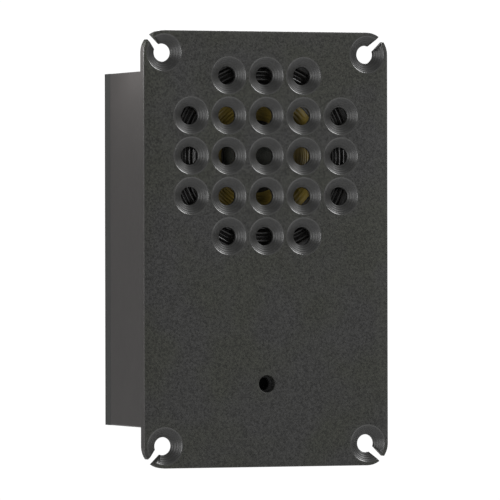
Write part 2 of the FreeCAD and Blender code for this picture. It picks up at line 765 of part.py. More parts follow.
def board_screws():
    """Four screws that hold the board on its posts."""
    return [
        screw(x, z, BOARD_REAR, BOARD_SCREW_R, BOARD_SCREW_L, BOARD_HEAD_R, BOARD_HEAD_H)
        for x, z in board_places()
    ]


def way_places():
    """Centres of the terminal ways along X."""
    return [(number - (WAYS - 1) / 2) * WAY_PITCH for number in range(WAYS)]


def terminal_socket():
    """Board-mounted socket shell, open to the rear."""
    height = SOCKET_OPEN_H + 2 * SOCKET_WALL_T
    shell = slab(0, TERMINAL_Z, 2 * TERMINAL_HALF, height, BOARD_REAR, SOCKET_END_Y)
    base_y = BOARD_REAR + SOCKET_BASE_T
    open_w = 2 * (TERMINAL_HALF - SOCKET_WALL_T)
    cutters = [slab(0, TERMINAL_Z, open_w, SOCKET_OPEN_H, base_y, SOCKET_END_Y)]
    for x in way_places():
        cutters.append(slab(x, TERMINAL_Z, PIN_W, PIN_W, BOARD_REAR, base_y))
    return shell.cut(cutters)


def socket_pins():
    """Square pins through the board and the socket's base."""
    y0 = BOARD_Y - PIN_TAIL
    y1 = BOARD_REAR + SOCKET_BASE_T + PIN_L
    return [slab(x, TERMINAL_Z, PIN_W, PIN_W, y0, y1) for x in way_places()]


PLUG_SHOULDER_Y = SOCKET_END_Y + PLUG_SHOULDER_GAP
PLUG_NOSE_Y = BOARD_REAR + SOCKET_BASE_T + PLUG_NOSE_GAP
PLUG_END_Y = CASE_DEPTH - PLUG_REAR_GAP
CAGE_Y = PLUG_SHOULDER_Y + (PLUG_END_Y - PLUG_SHOULDER_Y - CAGE_L) / 2
CLAMP_Y = CAGE_Y + CAGE_L / 2
PLUG_TOP = TERMINAL_Z + PLUG_BODY_H / 2


def terminal_plug():
    """Pull-off plug: a nose that enters the socket and a body with wire ports and clamp screws."""
    nose_w = 2 * (TERMINAL_HALF - SOCKET_WALL_T - PLUG_CLEAR)
    nose_h = SOCKET_OPEN_H - 2 * PLUG_CLEAR
    nose = slab(0, TERMINAL_Z, nose_w, nose_h, PLUG_NOSE_Y, PLUG_SHOULDER_Y)
    body_w = 2 * (TERMINAL_HALF - PLUG_SIDE)
    body = slab(0, TERMINAL_Z, body_w, PLUG_BODY_H, PLUG_SHOULDER_Y, PLUG_END_Y)
    cutters = []
    for x in way_places():
        hole = PLUG_PIN_HOLE_W
        cutters.append(slab(x, TERMINAL_Z, hole, hole, PLUG_NOSE_Y, CAGE_Y))
        room = 2 * CAGE_CLEAR
        cutters.append(slab(x, CAGE_Z, CAGE_W + room, CAGE_H + room,
                            CAGE_Y - CAGE_CLEAR, CAGE_Y + CAGE_L + CAGE_CLEAR))
        cutters.append(rod(x, CAGE_Z, WIRE_PORT_R, CAGE_Y, PLUG_END_Y))
        bore_r = CLAMP_SCREW_R + CLAMP_SCREW_CLEAR
        cutters.append(Part.makeCylinder(
            bore_r, PLUG_TOP - CAGE_Z, Vector(x, CLAMP_Y, CAGE_Z), Vector(0, 0, 1)))
    return joined(nose, body).cut(cutters)


def plug_cages():
    """Brass clamp cages inside the plug, one for each way."""
    cages = []
    for x in way_places():
        cage = slab(x, CAGE_Z, CAGE_W, CAGE_H, CAGE_Y, CAGE_Y + CAGE_L)
        cages.append(cage.cut(rod(x, CAGE_Z, WIRE_PORT_R, CAGE_Y, CAGE_Y + CAGE_L)))
    return cages


def plug_screws():
    """Slotted clamp screws in the plug's side, one for each way."""
    low = CAGE_Z + CAGE_H / 2
    high = PLUG_TOP - CLAMP_SCREW_SINK
    screws = []
    for x in way_places():
        body = Part.makeCylinder(
            CLAMP_SCREW_R, high - low, Vector(x, CLAMP_Y, low), Vector(0, 0, 1))
        slot = block(x - CLAMP_SCREW_R, x + CLAMP_SCREW_R,
                     CLAMP_Y - DRIVE_W / 2, CLAMP_Y + DRIVE_W / 2, high - DRIVE_DEPTH / 2, high)
        screws.append(body.cut(slot))
    return screws


def trimmer_body(x):
    """Case of a trimmer potentiometer, with the neck that carries its shaft."""
    case_end = BOARD_REAR + TRIMMER_H
    case = slab(x, CONTROL_Z, TRIMMER_W, TRIMMER_W, BOARD_REAR, case_end)
    neck = rod(x, CONTROL_Z, TRIMMER_NECK_R, case_end, case_end + TRIMMER_NECK_L)
    disc_y = BOARD_REAR + TRIMMER_FLOOR
    room_end = disc_y + TRIMMER_DISC_T + 2 * DISC_CLEAR
    room = rod(x, CONTROL_Z, TRIMMER_DISC_R + DISC_CLEAR, disc_y, room_end)
    bore = rod(x, CONTROL_Z, TRIMMER_SHAFT_R + RUN_CLEAR, disc_y, case_end + TRIMMER_NECK_L)
    return joined(case, neck).cut([room, bore])


def trimmer_shaft(x):
    """Turning shaft of a trimmer, slotted for a screwdriver, with its wiper disc."""
    disc_y = BOARD_REAR + TRIMMER_FLOOR + DISC_CLEAR
    shaft = rod(x, CONTROL_Z, TRIMMER_SHAFT_R, disc_y, CONTROL_END_Y)
    disc = rod(x, CONTROL_Z, TRIMMER_DISC_R, disc_y, disc_y + TRIMMER_DISC_T)
    slot_y = CONTROL_END_Y - DRIVE_DEPTH
    slot = slab(x, CONTROL_Z, DRIVE_W, 2 * TRIMMER_SHAFT_R, slot_y, CONTROL_END_Y)
    return joined(shaft, disc).cut(slot)


def mode_switch_body():
    """Case of the two-place slide switch."""
    width = MODE_LEVER_W + MODE_TRAVEL + 2 * SLIDE_CLEAR + 2 * MODE_BODY_END
    end = BOARD_REAR + MODE_BODY_H
    case = slab(MODE_X, CONTROL_Z, width, MODE_BODY_D, BOARD_REAR, end)
    slot_w = MODE_LEVER_W + MODE_TRAVEL + 2 * SLIDE_CLEAR
    slot_h = MODE_LEVER_W + 2 * SLIDE_CLEAR
    return case.cut(slab(MODE_X, CONTROL_Z, slot_w, slot_h, BOARD_REAR + MODE_FLOOR, end))


def mode_switch_lever():
    """Lever of the slide switch, at the left end of its slot."""
    x = MODE_X - MODE_TRAVEL / 2
    y0 = BOARD_REAR + MODE_FLOOR + SLIDE_CLEAR
    return slab(x, CONTROL_Z, MODE_LEVER_W, MODE_LEVER_W, y0, CONTROL_END_Y)


def button_switch_body():
    """Case of the set-up push switch, with room for the plunger's foot."""
    end = BOARD_REAR + BUTTON_BODY_H
    case = slab(BUTTON_X, CONTROL_Z, BUTTON_BODY_W, BUTTON_BODY_W, BOARD_REAR, end)
    room_y = BOARD_REAR + BUTTON_FLOOR
    room_end = room_y + BUTTON_FOOT_T + BUTTON_TRAVEL + 2 * SLIDE_CLEAR
    room = rod(BUTTON_X, CONTROL_Z, BUTTON_FOOT_R + SLIDE_CLEAR, room_y, room_end)
    bore = rod(BUTTON_X, CONTROL_Z, BUTTON_R + SLIDE_CLEAR, room_y, end)
    return case.cut([room, bore])


def button_plunger():
    """Plunger of the set-up push switch, standing at the top of its travel."""
    foot_y = BOARD_REAR + BUTTON_FLOOR + BUTTON_TRAVEL + SLIDE_CLEAR
    foot = rod(BUTTON_X, CONTROL_Z, BUTTON_FOOT_R, foot_y, foot_y + BUTTON_FOOT_T)
    return joined(foot, rod(BUTTON_X, CONTROL_Z, BUTTON_R, foot_y, CONTROL_END_Y))


LED_FLANGE_Y = CONTROL_END_Y - LED_L - LED_FLANGE_T


def led_spacer():
    """Tube that holds the lamp at the height of the rear cover."""
    spacer = rod(LED_X, CONTROL_Z, SPACER_R, BOARD_REAR, LED_FLANGE_Y)
    holes = []
    for side in (-1, 1):
        x = LED_X + side * LED_LEAD_SPACING / 2
        holes.append(rod(x, CONTROL_Z, SPACER_HOLE_R, BOARD_REAR, LED_FLANGE_Y))
    return spacer.cut(holes)


def status_led():
    """Status lamp: a domed lens on a flange, with two leads."""
    straight = CONTROL_END_Y - LED_R
    lens = joined(
        rod(LED_X, CONTROL_Z, LED_FLANGE_R, LED_FLANGE_Y, LED_FLANGE_Y + LED_FLANGE_T),
        rod(LED_X, CONTROL_Z, LED_R, LED_FLANGE_Y, straight),
        Part.makeSphere(LED_R, Vector(LED_X, straight, CONTROL_Z)),
    )
    leads = []
    for side in (-1, 1):
        x = LED_X + side * LED_LEAD_SPACING / 2
        leads.append(slab(x, CONTROL_Z, LED_LEAD_W, LED_LEAD_W, BOARD_REAR, LED_FLANGE_Y))
    return joined(lens, *leads)


def board_spot(across, down):
    """Place on the board from its shares of the half width and of the height."""
    return across * BOARD_X, BOARD_TOP - down * (BOARD_TOP - BOARD_LOW)


def capacitors():
    """Electrolytic capacitors that stand on the front side of the board."""
    solids = []
    for across, down, radius, length in CAPACITORS:
        x, z = board_spot(across, down)
        solids.append(rod(x, z, radius, BOARD_Y - length, BOARD_Y))
    return solids


def chips():
    """Moulded chips on the front side of the board, each on its row of legs."""
    solids = []
    for across, down, width, height, thickness in CHIPS:
        x, z = board_spot(across, down)
        y1 = BOARD_Y - CHIP_STANDOFF
        body = slab(x, z, width, height, y1 - thickness, y1)
        foot = slab(x, z, width - CHIP_STANDOFF, CHIP_STANDOFF * 2, y1, BOARD_Y)
        solids.append(joined(body, foot))
    return solids


def transformer_core():
    """Laminated core of the line transformer, a closed frame with a centre leg."""
    y1 = BOARD_Y - CORE_RAISE
    y0 = y1 - CORE_D
    frame = slab(CORE_X, CORE_Z, CORE_W, CORE_H, y0, y1)
    window_w = (CORE_W - 3 * CORE_LEG) / 2
    window_h = CORE_H - 2 * CORE_LEG
    cutters = []
    for side in (-1, 1):
        x = CORE_X + side * (CORE_LEG + window_w) / 2
        cutters.append(slab(x, CORE_Z, window_w, window_h, y0, y1))
    return frame.cut(cutters)


def transformer_bobbin():
    """Wound bobbin on the core's centre leg, with feet that stand on the board."""
    core_y1 = BOARD_Y - CORE_RAISE
    middle_y = core_y1 - CORE_D / 2
    window_w = (CORE_W - 3 * CORE_LEG) / 2
    width = CORE_LEG + 2 * (window_w - BOBBIN_CLEAR)
    height = CORE_H - 2 * CORE_LEG - 2 * BOBBIN_CLEAR
    coil = slab(CORE_X, CORE_Z, width, height, middle_y - BOBBIN_D / 2, BOARD_Y)
    leg = slab(CORE_X, CORE_Z, CORE_LEG + 2 * BOBBIN_CLEAR, height,
               core_y1 - CORE_D - BOBBIN_CLEAR, core_y1 + BOBBIN_CLEAR)
    return coil.cut(leg)


def wire_connectors():
    """Two board connectors, for the speaker leads and the microphone leads."""
    places = ((SPEAKER_PLUG_X, SPEAKER_PLUG_Z), (MIC_PLUG_X, MIC_PLUG_Z))
    return [
        slab(x, z, CONNECTOR_W, CONNECTOR_H, BOARD_Y - CONNECTOR_D, BOARD_Y) for x, z in places
    ]


def lead(points):
    """Round insulated lead through a list of points, with a ball at each bend."""
    path = [Vector(*point) for point in points]
    pieces = []
    for start, end in zip(path, path[1:]):
        run = end.sub(start)
        pieces.append(Part.makeCylinder(LEAD_R, run.Length, start, run))
    for bend in path[1:-1]:
        pieces.append(Part.makeSphere(LEAD_R, bend))
    return joined(*pieces)


def speaker_leads():
    """Two leads from the board connector to the solder tags."""
    tag_y = TAG_BOARD_Y + TAG_BOARD_T + TAG_T + LEAD_R + LEAD_SOLDER
    tag_z = GRILLE_Z - BASKET_BASE_R - BASKET_WINDOW_MARGIN - TAG_BOARD_H
    front = BOARD_Y - CONNECTOR_D
    leads = []
    for side in (-1, 1):
        x = SPEAKER_PLUG_X + side * LEAD_SPACING / 2
        leads.append(lead([
            (x, front, SPEAKER_PLUG_Z),
            (x, front - LEAD_RISE, SPEAKER_PLUG_Z),
            (side * TAG_SPACING / 2, front - LEAD_LIFT, tag_z - TAG_L),
            (side * TAG_SPACING / 2, tag_y, tag_z - TAG_L / 2),
            (side * TAG_SPACING / 2, tag_y, tag_z - TAG_W / 2),
        ]))
    return leads


def mic_leads():
    """Two leads from the capsule to their board connector."""
    rear = BOOT_FRONT_T + CAPSULE_L
    front = BOARD_Y - CONNECTOR_D
    leads = []
    for side in (-1, 1):
        z0 = MIC_Z + side * LEAD_SPACING / 2
        z1 = MIC_PLUG_Z + side * LEAD_SPACING / 2
        leads.append(lead([
            (0, rear, z0),
            (0, rear + LEAD_REACH, z0),
            (MIC_LEAD_X, rear + LEAD_REACH, z1),
            (MIC_LEAD_X, front - LEAD_REACH, z1),
            (MIC_PLUG_X, front - LEAD_REACH, z1),
            (MIC_PLUG_X, front, z1),
        ]))
    return leads


os.makedirs("parts", exist_ok=True)

save("front_housing", front_housing())
save("rear_cover", rear_cover())
save("rating_label", rating_label())
save("cover_screws", cover_screws())
save("speaker_gasket", speaker_gasket())
save("speaker_front_ring", speaker_front_ring())
save("speaker_basket", speaker_basket())
save("speaker_top_plate", speaker_top_plate())
save("speaker_magnet", speaker_magnet())
save("speaker_yoke", speaker_yoke())
save("surround", surround())
save("speaker_cone", speaker_cone())
save("dust_cap", dust_cap())
save("voice_coil", voice_coil())
save("spider", spider())
save("speaker_tag_board", speaker_tag_board())
save("speaker_tags", speaker_tags())
save("speaker_clips", driver_clips())
save("speaker_clip_screws", clip_screws())
save("mic_boot", mic_boot())
save("mic_capsule", mic_capsule())
save("main_board", main_board())
save("board_screws", board_screws())
save("terminal_socket", terminal_socket())
save("terminal_pins", socket_pins())
save("terminal_plug", terminal_plug())
save("terminal_cages", plug_cages())
save("terminal_screws", plug_screws())
save("volume_trimmer_body", trimmer_body(VOLUME_X))
save("volume_trimmer_shaft", trimmer_shaft(VOLUME_X))
save("mic_trimmer_body", trimmer_body(MIC_GAIN_X))
save("mic_trimmer_shaft", trimmer_shaft(MIC_GAIN_X))
save("mode_switch_body", mode_switch_body())
save("mode_switch_lever", mode_switch_lever())
save("button_switch_body", button_switch_body())
save("button_plunger", button_plunger())
save("led_spacer", led_spacer())
save("status_led", status_led())
save("capacitors", capacitors())
save("chips", chips())
save("transformer_core", transformer_core())
save("transformer_bobbin", transformer_bobbin())
save("wire_connectors", wire_connectors())
save("speaker_leads", speaker_leads())
save("mic_leads", mic_leads())
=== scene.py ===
"""Looks of a window intercom for a shop counter, in the order it is put together."""

import math

import bmesh
import bpy
from mathutils import Matrix, Vector


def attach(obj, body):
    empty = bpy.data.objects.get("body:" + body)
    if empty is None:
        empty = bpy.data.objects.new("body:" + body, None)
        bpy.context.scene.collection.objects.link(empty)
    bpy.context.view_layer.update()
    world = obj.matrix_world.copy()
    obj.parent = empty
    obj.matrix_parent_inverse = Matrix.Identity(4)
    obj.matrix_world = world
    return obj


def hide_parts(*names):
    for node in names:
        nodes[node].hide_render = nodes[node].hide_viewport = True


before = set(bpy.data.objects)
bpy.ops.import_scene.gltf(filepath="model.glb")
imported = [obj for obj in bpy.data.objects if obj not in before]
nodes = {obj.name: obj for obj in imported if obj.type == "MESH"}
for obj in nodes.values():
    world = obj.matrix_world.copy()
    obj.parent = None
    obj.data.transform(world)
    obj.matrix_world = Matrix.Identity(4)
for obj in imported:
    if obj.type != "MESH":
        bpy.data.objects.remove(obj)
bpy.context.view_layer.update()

# Studio: a pale floor and a white surround, as on a cut-out product photograph. A broad
# soft light stands high at the right, weaker ones at the left and behind, and a tiny one by
# the case's upper left corner. The camera looks level from the left, through a long lens.
MM = 0.001
FLOOR_DROP = 0.26
FLOOR_R = 1.6
FLOOR_STEPS = 96
FLOOR_GREY = 0.8
FLOOR_ROUGH = 0.9
SURROUND_GLOW = 0.235
BACKDROP_WHITE = 1.05
UNIT_MIDDLE = (0, 0, 0)
FACE_FRONT = -3.0 * MM
CAMERA_YAW = math.radians(21.113)
CAMERA_ROLL = math.radians(-0.11)
CAMERA_ASIDE = 5.32 * MM
CAMERA_BELOW = 0.258 * MM
CAMERA_DISTANCE = 1844.2 * MM
CAMERA_LENS = 419.88
CAMERA_SENSOR = 36

bm = bmesh.new()
bmesh.ops.create_circle(bm, cap_ends=True, segments=FLOOR_STEPS, radius=FLOOR_R,
                        matrix=Matrix.Translation((0, 0, -FLOOR_DROP)))
floor_mesh = bpy.data.meshes.new("studio_floor")
bm.to_mesh(floor_mesh)
bm.free()
floor = bpy.data.objects.new("studio_floor", floor_mesh)
bpy.context.scene.collection.objects.link(floor)
floor_paint = bpy.data.materials.new("studio_floor_paint")
floor_paint.use_nodes = True
floor_shader = floor_paint.node_tree.nodes["Principled BSDF"]
floor_shader.inputs["Base Color"].default_value = (FLOOR_GREY, FLOOR_GREY, FLOOR_GREY, 1)
floor_shader.inputs["Roughness"].default_value = FLOOR_ROUGH
floor_mesh.materials.append(floor_paint)

world = bpy.data.worlds.new("studio")
bpy.context.scene.world = world
world.use_nodes = True
glow = world.node_tree.nodes["Background"]
glow.inputs["Color"].default_value = (1, 1, 1, 1)
rays = world.node_tree.nodes.new("ShaderNodeLightPath")
level = world.node_tree.nodes.new("ShaderNodeMapRange")
level.inputs["To Min"].default_value = SURROUND_GLOW
level.inputs["To Max"].default_value = BACKDROP_WHITE
world.node_tree.links.new(rays.outputs["Is Camera Ray"], level.inputs["Value"])
world.node_tree.links.new(level.outputs["Result"], glow.inputs["Strength"])
bpy.context.scene.view_settings.view_transform = "Standard"


def soft_light(name, place, aim, width, height, power):
    """A rectangular softbox that faces a point, with its power in watts."""
    lamp = bpy.data.lights.new(name, "AREA")
    lamp.shape = "RECTANGLE"
    lamp.size = width
    lamp.size_y = height
    lamp.energy = power
    box = bpy.data.objects.new(name, lamp)
    box.visible_camera = False
    bpy.context.scene.collection.objects.link(box)
    turn = (Vector(place) - Vector(aim)).to_track_quat("Z", "Y")
    box.matrix_world = Matrix.Translation(place) @ turn.to_matrix().to_4x4()


soft_light("key_light", (1.31, -1.06, 1.04), UNIT_MIDDLE, 0.90, 0.90, 26)
soft_light("left_light", (-0.82, -0.89, -0.05), UNIT_MIDDLE, 0.30, 0.80, 3.8)
soft_light("side_light", (-1.20, 0.30, 0.00), UNIT_MIDDLE, 0.60, 0.80, 4.5)
soft_light("back_light", (0.75, 1.30, 0.60), UNIT_MIDDLE, 0.80, 0.80, 14)
soft_light("rim_light", (-0.066, 0.004, 0.068), (-0.041, 0.004, 0.056), 0.02, 0.02, 0.0157)

right = Vector((math.cos(CAMERA_YAW) * math.cos(CAMERA_ROLL),
                -math.sin(CAMERA_YAW) * math.cos(CAMERA_ROLL),
                math.sin(CAMERA_ROLL)))
forward = Vector((math.sin(CAMERA_YAW), math.cos(CAMERA_YAW), 0))
up = right.cross(forward)
stand = (Vector((0, FACE_FRONT, 0)) - CAMERA_ASIDE * right
         - CAMERA_DISTANCE * forward - CAMERA_BELOW * up)
camera_data = bpy.data.cameras.new("camera")
camera_data.sensor_width = CAMERA_SENSOR
camera_data.lens = CAMERA_LENS
camera = bpy.data.objects.new("camera", camera_data)
bpy.context.scene.collection.objects.link(camera)
axes = Matrix((right, up, -forward)).transposed()
camera.matrix_world = Matrix.Translation(stand) @ axes.to_4x4()
bpy.context.scene.camera = camera

# Front housing: the face and the side walls, one moulding in black plastic. The face is
# spark-textured and its edge is slightly rounded; 21 grille holes and four slit fixing
# holes are countersunk with a soft lip, and the microphone hole is plain.
FACE_W = 82.8 * MM
FACE_H = 137.8 * MM
FACE_T = 3.0 * MM
FACE_CORNER_R = 7.0 * MM
FACE_CORNER_STEPS = 10
FACE_EDGE_R = 0.35 * MM
FACE_EDGE_STEPS = 4
GRILLE_ROWS = (3, 5, 5, 5, 3)
GRILLE_PITCH = 12.7 * MM
GRILLE_Z = 29.5 * MM
FIXING_INSET = 7.0 * MM
SLIT_W = 2.3 * MM
SLIT_REACH = 3 * FIXING_INSET
MIC_Z = -42.6 * MM
SINK_R = 5.85 * MM
SINK_DEPTH = 2.0 * MM
SINK_HOLE_R = 2.85 * MM
SINK_FLAT = 0.12 * MM
SINK_LIP_R = 0.75 * MM
SINK_LIP_STEPS = 6
THROAT_R = 0.2 * MM
THROAT_STEPS = 3
MIC_HOLE_R = 2.7 * MM
MIC_LIP_R = 0.25 * MM
MIC_LIP_STEPS = 4
HOLE_STEPS = 64
CASE_HALF_H = 56.0 * MM
CASE_CORNER_R = 0.5 * MM
CASE_CORNER_STEPS = 4
CASE_LONG_EDGE = 1.0 * MM
SEAM_CHAMFER = 0.18 * MM
SOFT_EDGE_STEPS = 2
FLAT_BREADTH = 1.0 * MM
FLAT_SQUARE = 0.9999
SOFT_ANGLE = 38
FLAT_ANGLE = 0.6
JOIN = 1e-6
NEAR = 10 * JOIN
GRAIN_LOW = 0.38
GRAIN_HIGH = 0.62
PLASTIC_ROUGH_SPREAD = 0.06
METAL_SMOOTHER = 0.08
METAL_ROUGHER = 0.1
METAL_MARK_DEPTH = 0.004 * MM
BAND_FADE = 0.1 * MM
MIX_LOW, MIX_HIGH, MIX_RESULT = 6, 7, 2


def arc(centre, radius, start, end, steps):
    """Points of an arc in the (radius, depth) plane, angles in degrees."""
    found = []
    for number in range(steps + 1):
        angle = math.radians(start + (end - start) * number / steps)
        found.append((centre[0] + radius * math.cos(angle),
                      centre[1] + radius * math.sin(angle)))
    return found


def turned(profile, steps):
    """A mesh spun from an open profile of radius and depth about the Y axis."""
    bm = bmesh.new()
    verts = [bm.verts.new((radius, depth, 0)) for radius, depth in profile]
    edges = [bm.edges.new(pair) for pair in zip(verts, verts[1:])]
    bmesh.ops.spin(bm, geom=verts + edges, cent=(0, 0, 0), axis=(0, 1, 0),
                   dvec=(0, 0, 0), angle=2 * math.pi, steps=steps, use_merge=True)
    bmesh.ops.remove_doubles(bm, verts=bm.verts, dist=JOIN)
    mesh = bpy.data.meshes.new("turned")
    bm.to_mesh(mesh)
    bm.free()
    return mesh


def set_in(bm, mesh, x, z):
    """Adds a copy of a turned mesh about the line along Y at a place."""
    moved = mesh.copy()
    moved.transform(Matrix.Translation((x, 0, z)))
    bm.from_mesh(moved)
    bpy.data.meshes.remove(moved)


def ring(bm, x, y, z, radius, steps):
    """A bare circle of edges that faces along Y, with its first corner on the right."""
    place = Matrix.Translation((x, y, z)) @ Matrix.Rotation(math.pi / 2, 4, "X")
    made = bmesh.ops.create_circle(bm, cap_ends=False, segments=steps, radius=radius,
                                   matrix=place)
    return list({edge for vert in made["verts"] for edge in vert.link_edges})


def grille_places():
    """Centres of the grille holes, row by row from the top."""
    places = []
    for row, count in enumerate(GRILLE_ROWS):
        z = GRILLE_Z + ((len(GRILLE_ROWS) - 1) / 2 - row) * GRILLE_PITCH
        for column in range(count):
            places.append(((column - (count - 1) / 2) * GRILLE_PITCH, z))
    return places


def fixing_places():
    """Centres of the four fixing holes, one near each corner."""
    x = FACE_W / 2 - FIXING_INSET
    z = FACE_H / 2 - FIXING_INSET
    return [(sx * x, sz * z) for sx in (-1, 1) for sz in (-1, 1)]


def sink_profile():
    """Flat rim, soft lip, cone, soft throat and land of a countersunk hole."""
    slope = math.atan2(SINK_DEPTH, SINK_R - SINK_HOLE_R)
    degrees = math.degrees(slope)
    lip_run = SINK_LIP_R * math.tan(slope / 2)
    throat_run = THROAT_R * math.tan((math.pi / 2 - slope) / 2)
    lip = arc((SINK_R + lip_run, -FACE_T + SINK_LIP_R), SINK_LIP_R, -90, -90 - degrees,
              SINK_LIP_STEPS)
    throat = arc((SINK_HOLE_R + THROAT_R, -FACE_T + SINK_DEPTH + throat_run),
                 THROAT_R, -90 - degrees, -180, THROAT_STEPS)
    return [(SINK_R + lip_run + SINK_FLAT, -FACE_T)] + lip + throat + [(SINK_HOLE_R, 0)]


def mic_profile():
    """Flat rim, small lip and bore of the microphone hole."""
    lip = arc((MIC_HOLE_R + MIC_LIP_R, -FACE_T + MIC_LIP_R), MIC_LIP_R, -90, -180,
              MIC_LIP_STEPS)
    return [(MIC_HOLE_R + MIC_LIP_R + SINK_FLAT, -FACE_T)] + lip + [(MIC_HOLE_R, 0)]


def finish_mesh(bm, name, sharp_angle=30):
    """Turns a bmesh into an object with smooth faces and sharp edges past an angle."""
    mesh = bpy.data.meshes.new(name)
    bm.to_mesh(mesh)
    bm.free()
    mesh.shade_smooth()
    mesh.set_sharp_from_angle(angle=math.radians(sharp_angle))
    piece = bpy.data.objects.new(name, mesh)
    bpy.context.scene.collection.objects.link(piece)
    return piece


def shaped(piece):
    """The piece with its modifiers made part of its mesh."""
    seen = bpy.context.evaluated_depsgraph_get()
    mesh = bpy.data.meshes.new_from_object(piece.evaluated_get(seen))
    piece.modifiers.clear()
    piece.data = mesh
    return piece


def cut_slits(plate):
    """Cuts the slit that runs from each fixing hole out through its corner."""
    bm = bmesh.new()
    for x, z in fixing_places():
        outward = math.atan2(math.copysign(1, z), math.copysign(1, x))
        turn = Matrix.Rotation(-outward, 4, "Y")
        place = Matrix.Translation((x, -FACE_T / 2, z))
        size = Matrix.Diagonal((SLIT_REACH, 2 * FACE_T, SLIT_W, 1))
        start = Matrix.Translation((SLIT_REACH / 2, 0, 0))
        bmesh.ops.create_cube(bm, size=1, matrix=place @ turn @ start @ size)
    cutter = finish_mesh(bm, "slit_cutter")
    cut = plate.modifiers.new("slits", "BOOLEAN")
    cut.operation = "DIFFERENCE"
    cut.solver = "EXACT"
    cut.object = cutter
    shaped(plate)
    bpy.data.objects.remove(cutter)


def face_plate():
    """The face as a closed plate with all its holes."""
    bm = bmesh.new()
    bmesh.ops.create_grid(bm, x_segments=1, y_segments=1, size=0.5,
                          matrix=Matrix.Rotation(math.pi / 2, 4, "X"))
    bmesh.ops.scale(bm, vec=(FACE_W, 1, FACE_H), verts=bm.verts)
    bmesh.ops.bevel(bm, geom=bm.verts[:], offset=FACE_CORNER_R,
                    segments=FACE_CORNER_STEPS, profile=0.5, affect="VERTICES", material=-1)
    back = next(iter(bm.faces))
    made = bmesh.ops.extrude_face_region(bm, geom=[back], use_keep_orig=True)
    front = [item for item in made["geom"] if isinstance(item, bmesh.types.BMFace)]
    corners = [item for item in made["geom"] if isinstance(item, bmesh.types.BMVert)]
    bmesh.ops.translate(bm, vec=(0, FACE_EDGE_R - FACE_T, 0), verts=corners)
    run = 0.0
    rise = 0.0
    for number in range(1, FACE_EDGE_STEPS + 1):
        angle = math.pi / 2 * number / FACE_EDGE_STEPS
        next_run = FACE_EDGE_R * (1 - math.cos(angle))
        next_rise = FACE_EDGE_R * math.sin(angle)
        bmesh.ops.inset_region(bm, faces=front, thickness=next_run - run,
                               depth=next_rise - rise, use_even_offset=True)
        run, rise = next_run, next_rise
    rim = list({edge for face in front for edge in face.edges})
    back_rim = [edge for edge in bm.edges
                if all(abs(vert.co.y) < JOIN for vert in edge.verts)]
    bmesh.ops.delete(bm, geom=front + [back], context="FACES_ONLY")
    sink = sink_profile()
    mic = mic_profile()
    sink_mesh = turned(sink, HOLE_STEPS)
    mic_mesh = turned(mic, HOLE_STEPS)
    for x, z in grille_places() + fixing_places():
        rim += ring(bm, x, -FACE_T, z, sink[0][0], HOLE_STEPS)
        back_rim += ring(bm, x, 0, z, SINK_HOLE_R, HOLE_STEPS)
        set_in(bm, sink_mesh, x, z)
    rim += ring(bm, 0, -FACE_T, MIC_Z, mic[0][0], HOLE_STEPS)
    back_rim += ring(bm, 0, 0, MIC_Z, MIC_HOLE_R, HOLE_STEPS)
    set_in(bm, mic_mesh, 0, MIC_Z)
    bmesh.ops.triangle_fill(bm, use_beauty=True, edges=rim, normal=(0, -1, 0))
    bmesh.ops.triangle_fill(bm, use_beauty=True, edges=back_rim, normal=(0, 1, 0))
    bmesh.ops.remove_doubles(bm, verts=bm.verts, dist=JOIN)
    bmesh.ops.recalc_face_normals(bm, faces=bm.faces)
    plate = finish_mesh(bm, "face_plate_blank")
    cut_slits(plate)
    return plate


def cad_copy(node):
    """A bmesh of a CAD node with its triangles joined into flat faces."""
    bm = bmesh.new()
    bm.from_mesh(nodes[node].data)
    bmesh.ops.remove_doubles(bm, verts=bm.verts, dist=JOIN)
    bmesh.ops.dissolve_limit(bm, angle_limit=math.radians(FLAT_ANGLE), verts=bm.verts,
                             edges=bm.edges)
    return bm


def round_edges(bm, wanted, radius, segments):
    """Rounds the edges that the test picks out."""
    chosen = [edge for edge in bm.edges if wanted(edge.verts[0].co, edge.verts[1].co)]
    bmesh.ops.bevel(bm, geom=chosen, offset=radius, offset_type="OFFSET", segments=segments,
                    profile=0.5, affect="EDGES", material=-1, loop_slide=False,
                    clamp_overlap=True)


def soft_edged(piece, radius):
    """The piece with soft edges. Its broad faces, square to an axis, are kept flat."""
    edges = piece.modifiers.new("soft_edges", "BEVEL")
    edges.width = radius
    edges.segments = SOFT_EDGE_STEPS
    edges.limit_method = "ANGLE"
    edges.angle_limit = math.radians(SOFT_ANGLE)
    edges.harden_normals = True
    piece = shaped(piece)
    mesh = piece.data
    normals = [corner.vector.copy() for corner in mesh.corner_normals]
    for face in mesh.polygons:
        rim = sum((mesh.vertices[a].co - mesh.vertices[b].co).length
                  for a, b in face.edge_keys)
        if face.area > FLAT_BREADTH * rim and max(map(abs, face.normal)) > FLAT_SQUARE:
            for corner in face.loop_indices:
                normals[corner] = face.normal.copy()
    mesh.normals_split_custom_set(normals)
    return piece


